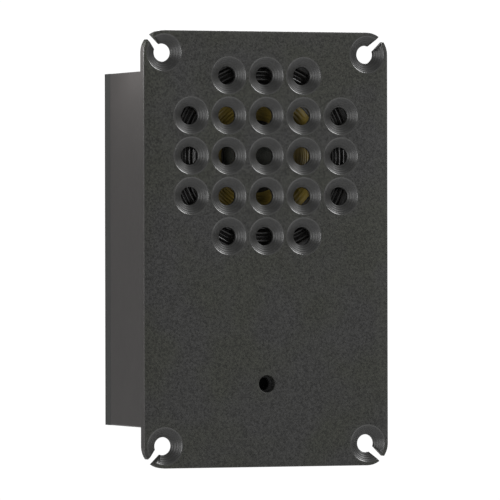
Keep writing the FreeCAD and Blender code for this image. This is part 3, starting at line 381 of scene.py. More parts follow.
def case_walls():
    """Side walls and inside posts, cut off at the rear plane of the face."""
    bm = cad_copy("front_housing")
    bmesh.ops.bisect_plane(bm, geom=bm.verts[:] + bm.edges[:] + bm.faces[:], dist=JOIN,
                           plane_co=(0, 0, 0), plane_no=(0, -1, 0), clear_outer=True)
    flat = [face for face in bm.faces if all(abs(vert.co.y) < JOIN for vert in face.verts)]
    bmesh.ops.delete(bm, geom=flat, context="FACES")
    side = FACE_W / 2 - NEAR
    top = CASE_HALF_H - NEAR
    round_edges(bm, lambda a, b: min(abs(a.x), abs(b.x)) > side
                and min(abs(a.z), abs(b.z)) > top and abs(a.y - b.y) > CASE_LONG_EDGE,
                CASE_CORNER_R, CASE_CORNER_STEPS)
    cut = [edge for edge in bm.edges if edge.is_boundary]
    bmesh.ops.triangle_fill(bm, use_beauty=True, edges=cut, normal=(0, -1, 0))
    bmesh.ops.recalc_face_normals(bm, faces=bm.faces)
    return soft_edged(finish_mesh(bm, "case_walls_blank", SOFT_ANGLE), SEAM_CHAMFER)


def finish(name, metallic=0.0, specular=0.5, coat=0.0, coat_rough=0.1):
    """A new node material, with the values that stay the same all over the surface."""
    made = bpy.data.materials.new(name)
    made.use_nodes = True
    shader = made.node_tree.nodes["Principled BSDF"]
    shader.inputs["Metallic"].default_value = metallic
    shader.inputs["Specular IOR Level"].default_value = specular
    shader.inputs["Coat Weight"].default_value = coat
    shader.inputs["Coat Roughness"].default_value = coat_rough
    return made


def part_of(made, kind, **values):
    """Adds a node to a material and sets its inputs by name."""
    node = made.node_tree.nodes.new(kind)
    for name, value in values.items():
        node.inputs[name.replace("_", " ")].default_value = value
    return node


def mapped(made, turn=(0, 0, 0), stretch=(1, 1, 1)):
    """The piece's own coordinates, turned and stretched."""
    coordinates = part_of(made, "ShaderNodeTexCoord")
    place = part_of(made, "ShaderNodeMapping", Rotation=turn, Scale=stretch)
    made.node_tree.links.new(coordinates.outputs["Object"], place.inputs["Vector"])
    return place.outputs["Vector"]


def speckle(made, size, detail=2.0, stretch=(1, 1, 1), coarse=0.5):
    """Noise with grains of about the given size, in metres."""
    noise = part_of(made, "ShaderNodeTexNoise", Scale=1 / size, Detail=detail,
                    Roughness=coarse)
    made.node_tree.links.new(mapped(made, stretch=stretch), noise.inputs["Vector"])
    return noise.outputs["Fac"]


def between(made, amount, low, high, start=0.3, end=0.7):
    """A number that runs from low to high as the amount runs from start to end."""
    node = part_of(made, "ShaderNodeMapRange")
    for name, value in zip(("From Min", "From Max", "To Min", "To Max"),
                           (start, end, low, high)):
        node.inputs[name].default_value = value
    made.node_tree.links.new(amount, node.inputs["Value"])
    return node.outputs["Result"]


def blend_colour(made, amount, low, high):
    """A colour between two, by an amount."""
    node = made.node_tree.nodes.new("ShaderNodeMix")
    node.data_type = "RGBA"
    made.node_tree.links.new(amount, node.inputs["Factor"])
    node.inputs[MIX_LOW].default_value = (*low, 1)
    node.inputs[MIX_HIGH].default_value = (*high, 1)
    return node.outputs[MIX_RESULT]


def worked(made, kind, first, second):
    """A number worked out from two others, or from the first alone."""
    node = made.node_tree.nodes.new("ShaderNodeMath")
    node.operation = kind
    for socket, value in zip(node.inputs, (first, second)):
        if isinstance(value, bpy.types.NodeSocket):
            made.node_tree.links.new(value, socket)
        else:
            socket.default_value = value
    return node.outputs[0]


def give(made, colour, rough, height, depth):
    """Joins colour, roughness and relief, with its depth in metres, to the shader."""
    shader = made.node_tree.nodes["Principled BSDF"]
    bump = part_of(made, "ShaderNodeBump", Strength=1.0, Distance=depth)
    for output, socket in ((colour, shader.inputs["Base Color"]),
                           (rough, shader.inputs["Roughness"]),
                           (height, bump.inputs["Height"]),
                           (bump.outputs["Normal"], shader.inputs["Normal"])):
        made.node_tree.links.new(output, socket)
    return made


def plastic(name, dark, light, rough, grain=0.4 * MM, depth=0.01 * MM, cloud=9 * MM):
    """Moulded plastic: fine grain, faint clouds, and a roughness that varies with both."""
    made = finish(name)
    fine = speckle(made, grain)
    broad = speckle(made, cloud, detail=3)
    mixed = worked(made, "ADD", worked(made, "MULTIPLY", fine, 0.5),
                   worked(made, "MULTIPLY", broad, 0.5))
    share = between(made, mixed, 0, 1, GRAIN_LOW, GRAIN_HIGH)
    colour = blend_colour(made, share, dark, light)
    varied = between(made, mixed, rough - PLASTIC_ROUGH_SPREAD,
                     rough + PLASTIC_ROUGH_SPREAD, GRAIN_LOW, GRAIN_HIGH)
    return give(made, colour, varied, fine, depth)


def metal(name, dark, light, rough, along=(1, 1, 1), grain=0.25 * MM, cloud=4 * MM):
    """Bare or plated metal, with marks drawn out along the directions it was worked in."""
    made = finish(name, metallic=1.0)
    marks = speckle(made, grain, detail=3, stretch=along)
    broad = speckle(made, cloud, detail=4)
    colour = blend_colour(made, between(made, broad, 0, 1), dark, light)
    varied = between(made, marks, rough - METAL_SMOOTHER, rough + METAL_ROUGHER)
    return give(made, colour, varied, marks, METAL_MARK_DEPTH)


def softened(node, radius, body, made):
    """A copy of a CAD node with soft edges, in the node's place."""
    copy = finish_mesh(cad_copy(node), node + "_soft_edged", SOFT_ANGLE)
    piece = soft_edged(copy, radius)
    piece.data.materials.clear()
    piece.data.materials.append(made)
    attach(piece, body)
    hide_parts(node)
    return piece


def dress(node, made):
    """Gives a CAD node its finish in place of the plain one that it came with."""
    finishes = nodes[node].data.materials
    finishes.clear()
    finishes.append(made)


def stored(made, name):
    """A number stored at each corner of the piece's mesh."""
    node = part_of(made, "ShaderNodeAttribute")
    node.attribute_name = name
    return node.outputs["Fac"]


def near_depth(made, depth, half):
    """One close to a depth, and nought away from it."""
    split = made.node_tree.nodes.new("ShaderNodeSeparateXYZ")
    made.node_tree.links.new(mapped(made), split.inputs[0])
    behind = worked(made, "SUBTRACT", split.outputs["Y"], depth)
    away = worked(made, "ABSOLUTE", behind, 0.0)
    return between(made, away, 1, 0, half, half + BAND_FADE)


def shaded(made, share, colour):
    """Lays another colour over a finish where the share is one."""
    paint = made.node_tree.nodes["Principled BSDF"].inputs["Base Color"]
    mix = made.node_tree.nodes.new("ShaderNodeMix")
    mix.data_type = "RGBA"
    made.node_tree.links.new(paint.links[0].from_socket, mix.inputs[MIX_LOW])
    mix.inputs[MIX_HIGH].default_value = (*colour, 1)
    made.node_tree.links.new(share, mix.inputs["Factor"])
    made.node_tree.links.new(mix.outputs[MIX_RESULT], paint)


def hole_distance(piece, places):
    """Stores at each corner of the mesh how far it is from the middle of its hole."""
    mesh = piece.data
    found = mesh.attributes.new("hole_distance", "FLOAT", "POINT")
    for vert, item in zip(mesh.vertices, found.data):
        item.value = min(math.hypot(vert.co.x - x, vert.co.z - z) for x, z in places)


FACE_FINISH, SIDE_FINISH, SINK_FINISH = 0, 1, 2
FACE_DARK = (0.013, 0.013, 0.0125)
FACE_LIGHT = (0.038, 0.038, 0.0365)
FACE_TINT = (0.96, 1.0, 0.80)
TINT_CLOUD = 22 * MM
SPARK_GRAIN = 0.55 * MM
SPARK_DEPTH = 0.05 * MM
SPARK_RANGE = (0.32, 0.68)
SPARK_ROUGH = (0.42, 0.62)
TINT_RANGE = (0.4, 0.6)
SIDE_ROUGH = 0.42
SIDE_SHARE = 0.7
SINK_DARK = (0.017, 0.017, 0.016)
SINK_LIGHT = (0.026, 0.026, 0.025)
SINK_ROUGH = 0.38
SINK_SMEAR = 1.2 * MM
# Painted highlight: the lighter colour of the lips stands in for their reflection.
LIP_PAINTED_HIGHLIGHT = (0.048, 0.048, 0.046)
LIP_ROUGH = 0.18
LIP_FADE = 0.1 * MM
TOOL_RING_PITCH = 0.7 * MM
TOOL_RING_DEPTH = 0.011 * MM
TOOL_RING_FADE = 0.3 * MM
LIP_START_R = 5.66 * MM
SIDE_DARK = (0.0425, 0.039, 0.0375)
SIDE_LIGHT = (0.0475, 0.0435, 0.042)
SEAM_Y = 28.2 * MM
# Painted shade, laid along the seam and along the cover's rear edge.
PAINTED_SHADE = (0.016, 0.015, 0.015)
face_black = finish("face_spark_textured_black", specular=0.4)
sparks = speckle(face_black, SPARK_GRAIN, detail=1.5, coarse=0.6)
clouds = speckle(face_black, TINT_CLOUD, detail=2)
black = blend_colour(face_black, between(face_black, sparks, 0, 1, *SPARK_RANGE),
                     FACE_DARK, FACE_LIGHT)
olive = face_black.node_tree.nodes.new("ShaderNodeMix")
olive.data_type = "RGBA"
olive.blend_type = "MULTIPLY"
olive.inputs[MIX_HIGH].default_value = (*FACE_TINT, 1)
clouded = between(face_black, clouds, 0, 1, *TINT_RANGE)
face_black.node_tree.links.new(clouded, olive.inputs["Factor"])
face_black.node_tree.links.new(black, olive.inputs[MIX_LOW])
give(face_black, olive.outputs[MIX_RESULT], between(face_black, sparks, *SPARK_ROUGH),
     sparks, SPARK_DEPTH)

sink_black = finish("sink_tooled_black", specular=0.7)
smear = speckle(sink_black, SINK_SMEAR, detail=2)
from_middle = stored(sink_black, "hole_distance")
rings = worked(sink_black, "SINE", worked(sink_black, "MULTIPLY", from_middle,
                                          2 * math.pi / TOOL_RING_PITCH), 0.0)
lip_share = between(sink_black, from_middle, 0, 1, LIP_START_R - LIP_FADE, LIP_START_R)
ring_share = between(sink_black, from_middle, 1, 0,
                     LIP_START_R - TOOL_RING_FADE, LIP_START_R)
sink_colour = blend_colour(sink_black, between(sink_black, smear, 0, 1),
                           SINK_DARK, SINK_LIGHT)
sink_rough = between(sink_black, lip_share, SINK_ROUGH, LIP_ROUGH, 0, 1)
tool_rings = worked(sink_black, "MULTIPLY", rings, ring_share)
give(sink_black, sink_colour, sink_rough, tool_rings, TOOL_RING_DEPTH)
# Painted highlight: a lighter ring of colour on each lip stands in for the thin reflection
# all round the rim.
shaded(sink_black, lip_share, LIP_PAINTED_HIGHLIGHT)
side_black = plastic("side_satin_black", SIDE_DARK, SIDE_LIGHT, SIDE_ROUGH, grain=0.2 * MM,
                     depth=0.003 * MM, cloud=14 * MM)
# Painted shade: a darker band along the seam with the rear cover stands in for the shade in
# the seam's groove.
shaded(side_black, near_depth(side_black, SEAM_Y, SEAM_CHAMFER), PAINTED_SHADE)

shell = face_plate()
walls = case_walls()
for piece, finishes in ((shell, (face_black, side_black, sink_black)),
                        (walls, (side_black,))):
    piece.data.materials.clear()
    for made in finishes:
        piece.data.materials.append(made)
hole_distance(shell, grille_places() + fixing_places())
sink_reach = sink_profile()[0][0] - SINK_FLAT / 2
for face in shell.data.polygons:
    middle = face.center
    edge = FACE_EDGE_R * SIDE_SHARE
    outside = abs(middle.x) > FACE_W / 2 - edge or abs(middle.z) > FACE_H / 2 - edge
    reach = max(shell.data.attributes["hole_distance"].data[corner].value
                for corner in face.vertices)
    if outside or middle.y > -JOIN:
        face.material_index = SIDE_FINISH
    elif reach < sink_reach:
        face.material_index = SINK_FINISH
    else:
        face.material_index = FACE_FINISH
shell.name = "front_face"
walls.name = "front_case_walls"
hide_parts("front_housing")
for piece in (shell, walls):
    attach(piece, "unit")

# Driver seal: a foam ring on the back of the face, and the paper-board ring that is glued
# on the rim of the surround and bears on the foam.
foam = plastic("seal_foam", (0.012, 0.012, 0.012), (0.035, 0.035, 0.035), 0.9,
               grain=0.5 * MM, depth=0.12 * MM)
board_paper = plastic("rim_paper_board", (0.018, 0.017, 0.016), (0.045, 0.042, 0.04), 0.8,
                      grain=0.3 * MM, depth=0.03 * MM)
dress("speaker_gasket", foam)
dress("speaker_front_ring", board_paper)

# Cone: pressed from thin amber sheet with close concentric ribs and a flat lip. It is
# glued to the surround outside and to the voice coil at its throat.
CONE_LIP_R = 20.6 * MM
CONE_OUT_R = 22.4 * MM
CONE_THROAT_R = 5.7 * MM
CONE_LIP_Y = 2.2 * MM
CONE_DROP = 8.0 * MM
CONE_T = 0.4 * MM
CONE_BEND = 0.92
RIB_PITCH = 1.15 * MM
RIB_RISE = 0.13 * MM
RIB_STEPS = 8
CONE_STEPS = 120
SKIN_SHARE = 0.8
AMBER_DARK = (0.19, 0.138, 0.028)
AMBER_LIGHT = (0.35, 0.257, 0.058)
AMBER_ROUGH = (0.28, 0.42)


def cone_depth(radius):
    """Depth of the cone's front surface at a radius, without its ribs."""
    share = (CONE_LIP_R - radius) / (CONE_LIP_R - CONE_THROAT_R)
    return CONE_LIP_Y + CONE_DROP * max(share, 0) ** CONE_BEND


def cone_profile():
    """Front surface of the cone from its lip to its throat, ribs included."""
    points = [(CONE_OUT_R, CONE_LIP_Y)]
    count = round((CONE_LIP_R - CONE_THROAT_R) / RIB_PITCH * RIB_STEPS)
    for number in range(count + 1):
        radius = CONE_LIP_R + (CONE_THROAT_R - CONE_LIP_R) * number / count
        wave = math.sin(2 * math.pi * (CONE_LIP_R - radius) / RIB_PITCH)
        fade = min(number, count - number, RIB_STEPS) / RIB_STEPS
        points.append((radius, cone_depth(radius) + RIB_RISE * wave * fade))
    return points


def skin(name, profile, thickness, steps):
    """A thin turned skin about the driver's axis, with its thickness to the rear."""
    bm = bmesh.new()
    set_in(bm, turned(profile, steps), 0, GRILLE_Z)
    bmesh.ops.recalc_face_normals(bm, faces=bm.faces)
    middle = Vector((0, 0, GRILLE_Z))
    outermost = max(bm.faces, key=lambda face: (face.calc_center_median() - middle).length)
    if outermost.normal.y > 0:
        bmesh.ops.reverse_faces(bm, faces=bm.faces)
    piece = finish_mesh(bm, name, sharp_angle=60)
    wall = piece.modifiers.new("thickness", "SOLIDIFY")
    wall.thickness = thickness
    wall.offset = -1
    return shaped(piece)


cone = skin("speaker_cone_ribbed", cone_profile(), CONE_T * SKIN_SHARE, CONE_STEPS)
amber = finish("cone_amber_sheet", specular=0.5, coat=0.3, coat_rough=0.15)
amber_grain = speckle(amber, 0.8 * MM, detail=4)
amber_cloud = speckle(amber, 6 * MM, detail=3)
give(amber, blend_colour(amber, between(amber, amber_cloud, 0, 1), AMBER_DARK, AMBER_LIGHT),
     between(amber, amber_grain, *AMBER_ROUGH), amber_grain, 0.01 * MM)
cone.data.materials.append(amber)
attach(cone, "cone_body")
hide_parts("speaker_cone")

# Dust cap: a shallow dome of grey felted paper, pressed to shape, that keeps dust out of
# the voice coil. It is glued on the cone.
CAP_R = 10.4 * MM
CAP_RISE = 3.2 * MM
CAP_T = 0.3 * MM
CAP_FOOT = 0.05 * MM
CAP_SHOULDER = 0.2 * MM
CAP_RINGS = 12
CAP_STEPS = 96


def cap_profile():
    """Rounded foot and dome of the dust cap, from its edge to its middle."""
    edge_y = cone_depth(CAP_R)
    points = [(CAP_R, edge_y - CAP_FOOT), (CAP_R - CAP_FOOT, edge_y - CAP_T)]
    for number in range(1, CAP_RINGS):
        radius = (CAP_R - CAP_SHOULDER) * (1 - number / CAP_RINGS)
        points.append((radius, edge_y - CAP_T - CAP_RISE * (1 - (radius / CAP_R) ** 2)))
    points.append((0, edge_y - CAP_T - CAP_RISE))
    return points


cap = skin("speaker_dust_cap", cap_profile(), CAP_T * SKIN_SHARE, CAP_STEPS)
felt = plastic("cap_felted_paper", (0.042, 0.044, 0.038), (0.115, 0.119, 0.104), 0.85,
               grain=0.35 * MM, depth=0.05 * MM, cloud=3 * MM)
cap.data.materials.append(felt)
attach(cap, "cone_body")
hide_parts("dust_cap")

# Cap glue: a bead of glue, laid wet round the foot of the dust cap. It sticks the cap to
# the cone and moves with both. Its dark colour is painted shade, standing in for the shade
# at the cap's foot.
BEAD_OUT_R = 11.6 * MM
BEAD_IN_R = 10.2 * MM
BEAD_RISE = 0.4 * MM
BEAD_SKIN = 0.15 * MM
BEAD_RINGS = 8


def bead_profile():
    """Rounded top of the bead, from the cone up to the foot of the cap."""
    points = []
    for number in range(BEAD_RINGS + 1):
        share = number / BEAD_RINGS
        radius = BEAD_OUT_R + (BEAD_IN_R - BEAD_OUT_R) * share
        rise = BEAD_RISE * math.sin(math.pi * share) ** 0.5
        points.append((radius, cone_depth(radius) - rise))
    return points


bead = skin("cap_glue_bead", bead_profile(), BEAD_SKIN, CAP_STEPS)
# Painted shade: the glue's dark colour stands in for the shade at the foot of the cap.
glue = plastic("cap_glue_painted_shade", (0.014, 0.013, 0.010), (0.034, 0.031, 0.024), 0.32,
               grain=0.6 * MM, depth=0.03 * MM, cloud=4 * MM)
bead.data.materials.append(glue)
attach(bead, "cone_body")

# Surround: a corrugated edge of doped cloth, glossy black, three waves wide, bonded
# between the basket's flange and the paper-board ring, and to the lip of the cone.
EDGE_OUT_R = 30.1 * MM
EDGE_RIM_R = 33.0 * MM
EDGE_Y = 1.9 * MM
EDGE_WAVES = 3
EDGE_RISE = 0.55 * MM
EDGE_T = 0.3 * MM
WAVE_RINGS = 14
EDGE_STEPS = 144
EDGE_DARK = (0.006, 0.006, 0.006)
EDGE_LIGHT = (0.018, 0.017, 0.016)
EDGE_ROUGH = (0.20, 0.28)


def surround_profile():
    """Front surface of the surround, from its rim through the waves to the cone's lip."""
    points = [(EDGE_RIM_R, EDGE_Y)]
    rings = EDGE_WAVES * WAVE_RINGS
    for number in range(rings + 1):
        share = number / rings
        radius = EDGE_OUT_R + share * (CONE_OUT_R - EDGE_OUT_R)
        wave = math.sin(2 * math.pi * EDGE_WAVES * share)
        points.append((radius, EDGE_Y - EDGE_RISE * wave))
    points.append((CONE_LIP_R, EDGE_Y))
    return points


surround = skin("speaker_surround", surround_profile(), EDGE_T * SKIN_SHARE, EDGE_STEPS)
doped = finish("surround_doped_cloth", specular=0.5, coat=0.4, coat_rough=0.08)
weave = speckle(doped, 0.35 * MM, detail=3)
give(doped, blend_colour(doped, between(doped, weave, 0, 1), EDGE_DARK, EDGE_LIGHT),
     between(doped, weave, *EDGE_ROUGH), weave, 0.0015 * MM)
surround.data.materials.append(doped)
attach(surround, "unit")
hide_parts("surround")

# Voice coil and spider: a paper former wound with enamelled copper, centred by a
# corrugated disc of resin-dipped cloth.
copper = metal("coil_copper_wire", (0.45, 0.16, 0.06), (0.72, 0.30, 0.12), 0.35,
               along=(1, 12, 1), grain=0.3 * MM)
spider_cloth = plastic("spider_dipped_cloth", (0.30, 0.16, 0.05), (0.45, 0.27, 0.10), 0.75,
                       grain=0.3 * MM, depth=0.05 * MM)
dress("voice_coil", copper)
dress("spider", spider_cloth)

# Frame and magnet: the basket is pressed steel with a dark passivated finish, the top
# plate and yoke are zinc-plated steel, and the magnet is a ring of sintered ferrite.
basket_steel = metal("basket_passivated_steel", (0.10, 0.10, 0.095), (0.20, 0.19, 0.17),
                     0.38)
plate_steel = metal("plate_zinc_steel", (0.40, 0.39, 0.33), (0.62, 0.60, 0.50), 0.32)
ferrite = plastic("magnet_ferrite", (0.018, 0.018, 0.019), (0.045, 0.045, 0.047), 0.6,
                  grain=0.6 * MM, depth=0.03 * MM)
dress("speaker_basket", basket_steel)
dress("speaker_top_plate", plate_steel)
dress("speaker_yoke", plate_steel)
dress("speaker_magnet", ferrite)

# Tag board, solder tags and driver clips: brown paper laminate with tinned tags, and
# zinc-plated clips held down by small screws.
laminate = plastic("tag_paper_laminate", (0.16, 0.08, 0.03), (0.26, 0.15, 0.06), 0.55)
tinned = metal("tag_tinned_brass", (0.55, 0.54, 0.50), (0.75, 0.73, 0.68), 0.28)
zinc = metal("clip_zinc_steel", (0.45, 0.45, 0.43), (0.68, 0.68, 0.66), 0.3)
dress("speaker_tag_board", laminate)
dress("speaker_tags", tinned)
dress("speaker_clips", zinc)
dress("speaker_clip_screws", zinc)

# Microphone: an aluminium capsule pressed into a black rubber boot, which sits in a
# moulded socket behind its hole. Its front is covered by black felt.
FELT_T = 0.3 * MM
FELT_BLACK = (0.004, 0.004, 0.004)
rubber = plastic("boot_rubber", (0.010, 0.010, 0.010), (0.022, 0.022, 0.022), 0.7,
                 grain=0.3 * MM, depth=0.02 * MM)
aluminium = metal("capsule_aluminium", (0.18, 0.18, 0.18), (0.32, 0.32, 0.32), 0.4)
capsule_front = min(vert.co.y for vert in nodes["mic_capsule"].data.vertices)
shaded(aluminium, near_depth(aluminium, capsule_front, FELT_T), FELT_BLACK)
dress("mic_boot", rubber)
dress("mic_capsule", aluminium)

# Circuit board: green-lacquered glass laminate with copper tracks under the lacquer,
# held by four small screws.
TRACK_W = 0.35 * MM
TRACK_RUN = 6.0 * MM
TRACK_PITCH = 1.9 * MM
TRACK_RISE = 0.03 * MM
TRACK_GREEN = (0.03, 0.18, 0.06)
LACQUER_GREEN = (0.012, 0.10, 0.035)
LACQUER_ROUGH = (0.28, 0.42)
lacquer = finish("board_green_lacquer", specular=0.5, coat=0.4, coat_rough=0.15)
track = part_of(lacquer, "ShaderNodeTexBrick", Scale=1.0, Mortar_Size=TRACK_W,
                Brick_Width=TRACK_RUN, Row_Height=TRACK_PITCH, Mortar_Smooth=0.2)
laid_flat = mapped(lacquer, turn=(math.pi / 2, 0, 0))
lacquer.node_tree.links.new(laid_flat, track.inputs["Vector"])
give(lacquer, blend_colour(lacquer, track.outputs["Fac"], LACQUER_GREEN, TRACK_GREEN),
     between(lacquer, speckle(lacquer, 2 * MM), *LACQUER_ROUGH), track.outputs["Fac"],
     TRACK_RISE)
dress("main_board", lacquer)
dress("board_screws", zinc)

# Terminals: a green moulded socket with tinned pins, and its pull-off plug with brass
# clamp cages and slotted screws.
terminal_green = plastic("terminal_green", (0.02, 0.19, 0.07), (0.03, 0.26, 0.10), 0.42,
                         grain=0.3 * MM, depth=0.008 * MM)
brass = metal("clamp_brass", (0.50, 0.36, 0.14), (0.74, 0.56, 0.26), 0.3)
softened("terminal_socket", 0.12 * MM, "unit", terminal_green)
softened("terminal_plug", 0.15 * MM, "plug_body", terminal_green)
softened("terminal_screws", 0.06 * MM, "plug_body", zinc)
dress("terminal_pins", tinned)
dress("terminal_cages", brass)

# Controls on the board: two blue trimmers with white shafts, a slide switch and a push
# button in black cases, and a green lamp on a white spacer.
trimmer_blue = plastic("trimmer_blue", (0.02, 0.07, 0.26), (0.03, 0.10, 0.36), 0.4)
shaft_white = plastic("shaft_white", (0.62, 0.61, 0.57), (0.74, 0.73, 0.69), 0.45)
switch_black = plastic("switch_black", (0.014, 0.014, 0.014), (0.026, 0.026, 0.026), 0.45)
button_red = plastic("button_red", (0.40, 0.02, 0.015), (0.55, 0.035, 0.025), 0.4)
lamp_green = plastic("lamp_green", (0.03, 0.30, 0.06), (0.06, 0.42, 0.10), 0.15)
softened("volume_trimmer_body", 0.2 * MM, "unit", trimmer_blue)
softened("mic_trimmer_body", 0.2 * MM, "unit", trimmer_blue)
softened("volume_trimmer_shaft", 0.15 * MM, "volume_shaft_body", shaft_white)
softened("mic_trimmer_shaft", 0.15 * MM, "mic_gain_shaft_body", shaft_white)
softened("mode_switch_body", 0.12 * MM, "unit", switch_black)
softened("mode_switch_lever", 0.15 * MM, "mode_lever_body", shaft_white)
softened("button_switch_body", 0.12 * MM, "unit", switch_black)
softened("button_plunger", 0.15 * MM, "button_body", button_red)
dress("led_spacer", shaft_white)
dress("status_led", lamp_green)

# Parts on the front side of the board: sleeved capacitors, moulded chips, and a line
# transformer with a laminated core and a taped bobbin.
sleeve = plastic("capacitor_sleeve", (0.015, 0.02, 0.05), (0.03, 0.035, 0.08), 0.3)
epoxy = plastic("chip_epoxy", (0.012, 0.012, 0.012), (0.024, 0.024, 0.024), 0.55)
core_steel = metal("core_laminations", (0.16, 0.16, 0.16), (0.30, 0.30, 0.30), 0.4,
                   along=(0.2, 40, 0.2))
tape = plastic("bobbin_tape", (0.50, 0.33, 0.03), (0.62, 0.43, 0.06), 0.35)
softened("capacitors", 0.3 * MM, "unit", sleeve)
softened("chips", 0.08 * MM, "unit", epoxy)
dress("transformer_core", core_steel)
softened("transformer_bobbin", 0.2 * MM, "unit", tape)

# Wiring: two nylon connectors, red and grey insulated leads from the board to the
# driver's tags and to the capsule.
nylon = plastic("connector_nylon", (0.55, 0.53, 0.46), (0.70, 0.68, 0.60), 0.5)
lead_red = plastic("lead_red", (0.30, 0.015, 0.012), (0.42, 0.03, 0.02), 0.45)
lead_grey = plastic("lead_grey", (0.14, 0.14, 0.15), (0.24, 0.24, 0.25), 0.45)
softened("wire_connectors", 0.12 * MM, "unit", nylon)
dress("speaker_leads", lead_red)
dress("mic_leads", lead_grey)

# Rear cover: a shallow moulded tray that closes the case behind a fine seam, in the same
# black plastic as the walls but from another tool, so a shade apart. Four screws sit in
# its wells and a plain silver label in its recess.
COVER_REAR = 33.2 * MM
REAR_EDGE_W = 0.35 * MM
PRINT_T = 0.02 * MM
cover_black = plastic("cover_satin_black", (0.027, 0.029, 0.027), (0.032, 0.034, 0.032),
                      0.45, grain=0.2 * MM, depth=0.004 * MM, cloud=12 * MM)
# Painted shade: a darker band along the seam and another along the rear edge stand in for
# the shade in the seam's groove and on the rounded rear edge.
shaded(cover_black, near_depth(cover_black, SEAM_Y, SEAM_CHAMFER), PAINTED_SHADE)
rear_edge_painted_shade = near_depth(cover_black, COVER_REAR - 2 * REAR_EDGE_W, REAR_EDGE_W)
shaded(cover_black, rear_edge_painted_shade, PAINTED_SHADE)
cover = softened("rear_cover", SEAM_CHAMFER, "unit", cover_black)
for vert in cover.data.vertices:
    if vert.co.y > COVER_REAR - NEAR:
        vert.co.y -= PRINT_T
softened("cover_screws", 0.12 * MM, "unit", zinc)

# Printing on the cover: white pad-printed way numbers, a scale with its two signs round
# each trimmer, and the two places of the slide switch. It stands a hair's breadth proud of
# the plastic, whose rear is set in by as much.
WAYS = 6
WAY_PITCH = 3.81 * MM
WAY_NUMBER_Z = -31.4 * MM
WAY_NUMBER_H = 2.4 * MM
CONTROL_Z = -14.4 * MM
TRIMMER_X = (-23.936 * MM, -10.472 * MM)
SIGN_H = 2.6 * MM
MODE_X = 4.114 * MM
MODE_SPREAD = 1.1 * MM
MODE_NUMBER_H = 2.0 * MM
SCALE_IN = 4.3 * MM
SCALE_OUT = 5.1 * MM
SCALE_LINE_W = 0.28 * MM
SCALE_HALF_TURN = 135
SCALE_MARKS = 11
INK_HALF = PRINT_T * 0.9


def on_rear(x, z, turn=0.0):
    """Lays a flat drawing on the rear of the cover, upright to someone behind it."""
    lay = Matrix(((-1, 0, 0, x), (0, 0, 1, COVER_REAR - PRINT_T), (0, 1, 0, z),
                  (0, 0, 0, 1)))
    return lay @ Matrix.Rotation(turn, 4, "Z")


def print_word(bm, word, x, z, height):
    """Adds one printed word or sign, centred at a place."""
    text = bpy.data.curves.new("print", "FONT")
    text.body = word
    text.size = height
    text.align_x = "CENTER"
    text.align_y = "CENTER"
    text.extrude = INK_HALF
    text.resolution_u = 4
    holder = bpy.data.objects.new("print", text)
    mesh = bpy.data.meshes.new_from_object(holder)
    mesh.transform(on_rear(x, z))
    bm.from_mesh(mesh)
    bpy.data.objects.remove(holder)


def print_bar(bm, x, z, along, width, length, turn):
    """Adds one printed line, set off from a place along its own direction."""
    size = Matrix.Diagonal((width, length, 2 * INK_HALF, 1))
    start = Matrix.Translation((0, along, 0))
    bmesh.ops.create_cube(bm, size=1, matrix=on_rear(x, z, turn) @ start @ size)


bm = bmesh.new()
for number in range(WAYS):
    place = ((WAYS - 1) / 2 - number) * WAY_PITCH
    print_word(bm, str(number + 1), place, WAY_NUMBER_Z, WAY_NUMBER_H)
for x in TRIMMER_X:
    for mark in range(SCALE_MARKS):
        turn = math.radians(SCALE_HALF_TURN * (1 - 2 * mark / (SCALE_MARKS - 1)))
        print_bar(bm, x, CONTROL_Z, (SCALE_IN + SCALE_OUT) / 2, SCALE_LINE_W,
                  SCALE_OUT - SCALE_IN, turn)
    for side, sign in ((1, "-"), (-1, "+")):
        print_word(bm, sign, x + side * SCALE_OUT, CONTROL_Z - SCALE_OUT, SIGN_H)
for side, word in ((1, "1"), (-1, "2")):
    print_word(bm, word, MODE_X + side * MODE_SPREAD, CONTROL_Z + SCALE_IN, MODE_NUMBER_H)
marks = finish_mesh(bm, "cover_printing")
ink_white = plastic("pad_print_white", (0.55, 0.55, 0.53), (0.72, 0.72, 0.70), 0.5,
                    grain=0.15 * MM, depth=0.002 * MM)
marks.data.materials.clear()
marks.data.materials.append(ink_white)
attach(marks, "unit")

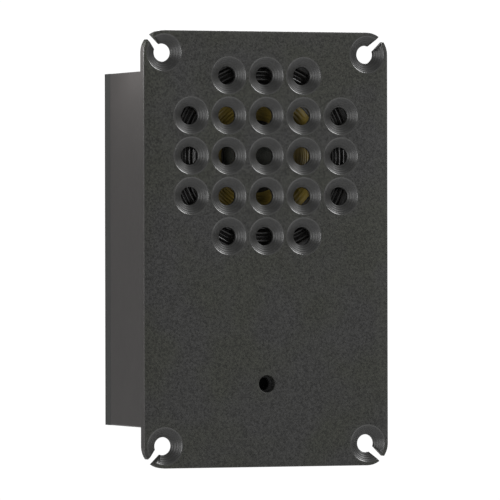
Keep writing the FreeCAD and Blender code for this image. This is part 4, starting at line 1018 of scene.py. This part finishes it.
# Label: plain silver foil with rounded corners and a thin printed frame, stuck in its
# recess. It carries no words.
LABEL_W = 46.0 * MM
LABEL_H = 27.0 * MM
LABEL_T = 0.15 * MM
LABEL_FLOOR = 33.0 * MM
LABEL_CORNER_R = 1.5 * MM
LABEL_CORNER_STEPS = 6
LABEL_FRAME_IN = 1.4 * MM
LABEL_FRAME_W = 0.3 * MM
LABEL_FRAME_BAND = 2
label_foil = metal("label_silver_foil", (0.60, 0.60, 0.60), (0.66, 0.66, 0.66), 0.38,
                   along=(0.04, 1, 3), grain=0.12 * MM, cloud=40 * MM)
label_ink = plastic("label_frame_ink", (0.02, 0.02, 0.02), (0.04, 0.04, 0.04), 0.5)


def label_loop(bm, drawn_in, y):
    """Adds one rounded outline, drawn in from the label's edge."""
    radius = max(LABEL_CORNER_R - drawn_in, LABEL_FRAME_W)
    half_w = LABEL_W / 2 - drawn_in - radius
    half_h = LABEL_H / 2 - drawn_in - radius
    loop = []
    for quarter, (sx, sz) in enumerate(((1, 1), (-1, 1), (-1, -1), (1, -1))):
        for step in range(LABEL_CORNER_STEPS + 1):
            turn = math.pi / 2 * (quarter + step / LABEL_CORNER_STEPS)
            x = sx * half_w + radius * math.cos(turn)
            z = sz * half_h + radius * math.sin(turn)
            loop.append(bm.verts.new((x, y, GRILLE_Z + z)))
    return loop


bm = bmesh.new()
label_top = LABEL_FLOOR + LABEL_T
loops = [label_loop(bm, 0, LABEL_FLOOR), label_loop(bm, 0, label_top),
         label_loop(bm, LABEL_FRAME_IN, label_top),
         label_loop(bm, LABEL_FRAME_IN + LABEL_FRAME_W, label_top)]
bm.faces.new(loops[0])
bm.faces.new(loops[-1])
for band, (outer, inner) in enumerate(zip(loops, loops[1:])):
    for i in range(len(outer)):
        face = bm.faces.new((outer[i - 1], outer[i], inner[i], inner[i - 1]))
        face.material_index = 1 if band == LABEL_FRAME_BAND else 0
bmesh.ops.recalc_face_normals(bm, faces=bm.faces)
label = finish_mesh(bm, "silver_label")
for made in (label_foil, label_ink):
    label.data.materials.append(made)
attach(label, "unit")
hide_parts("rating_label")
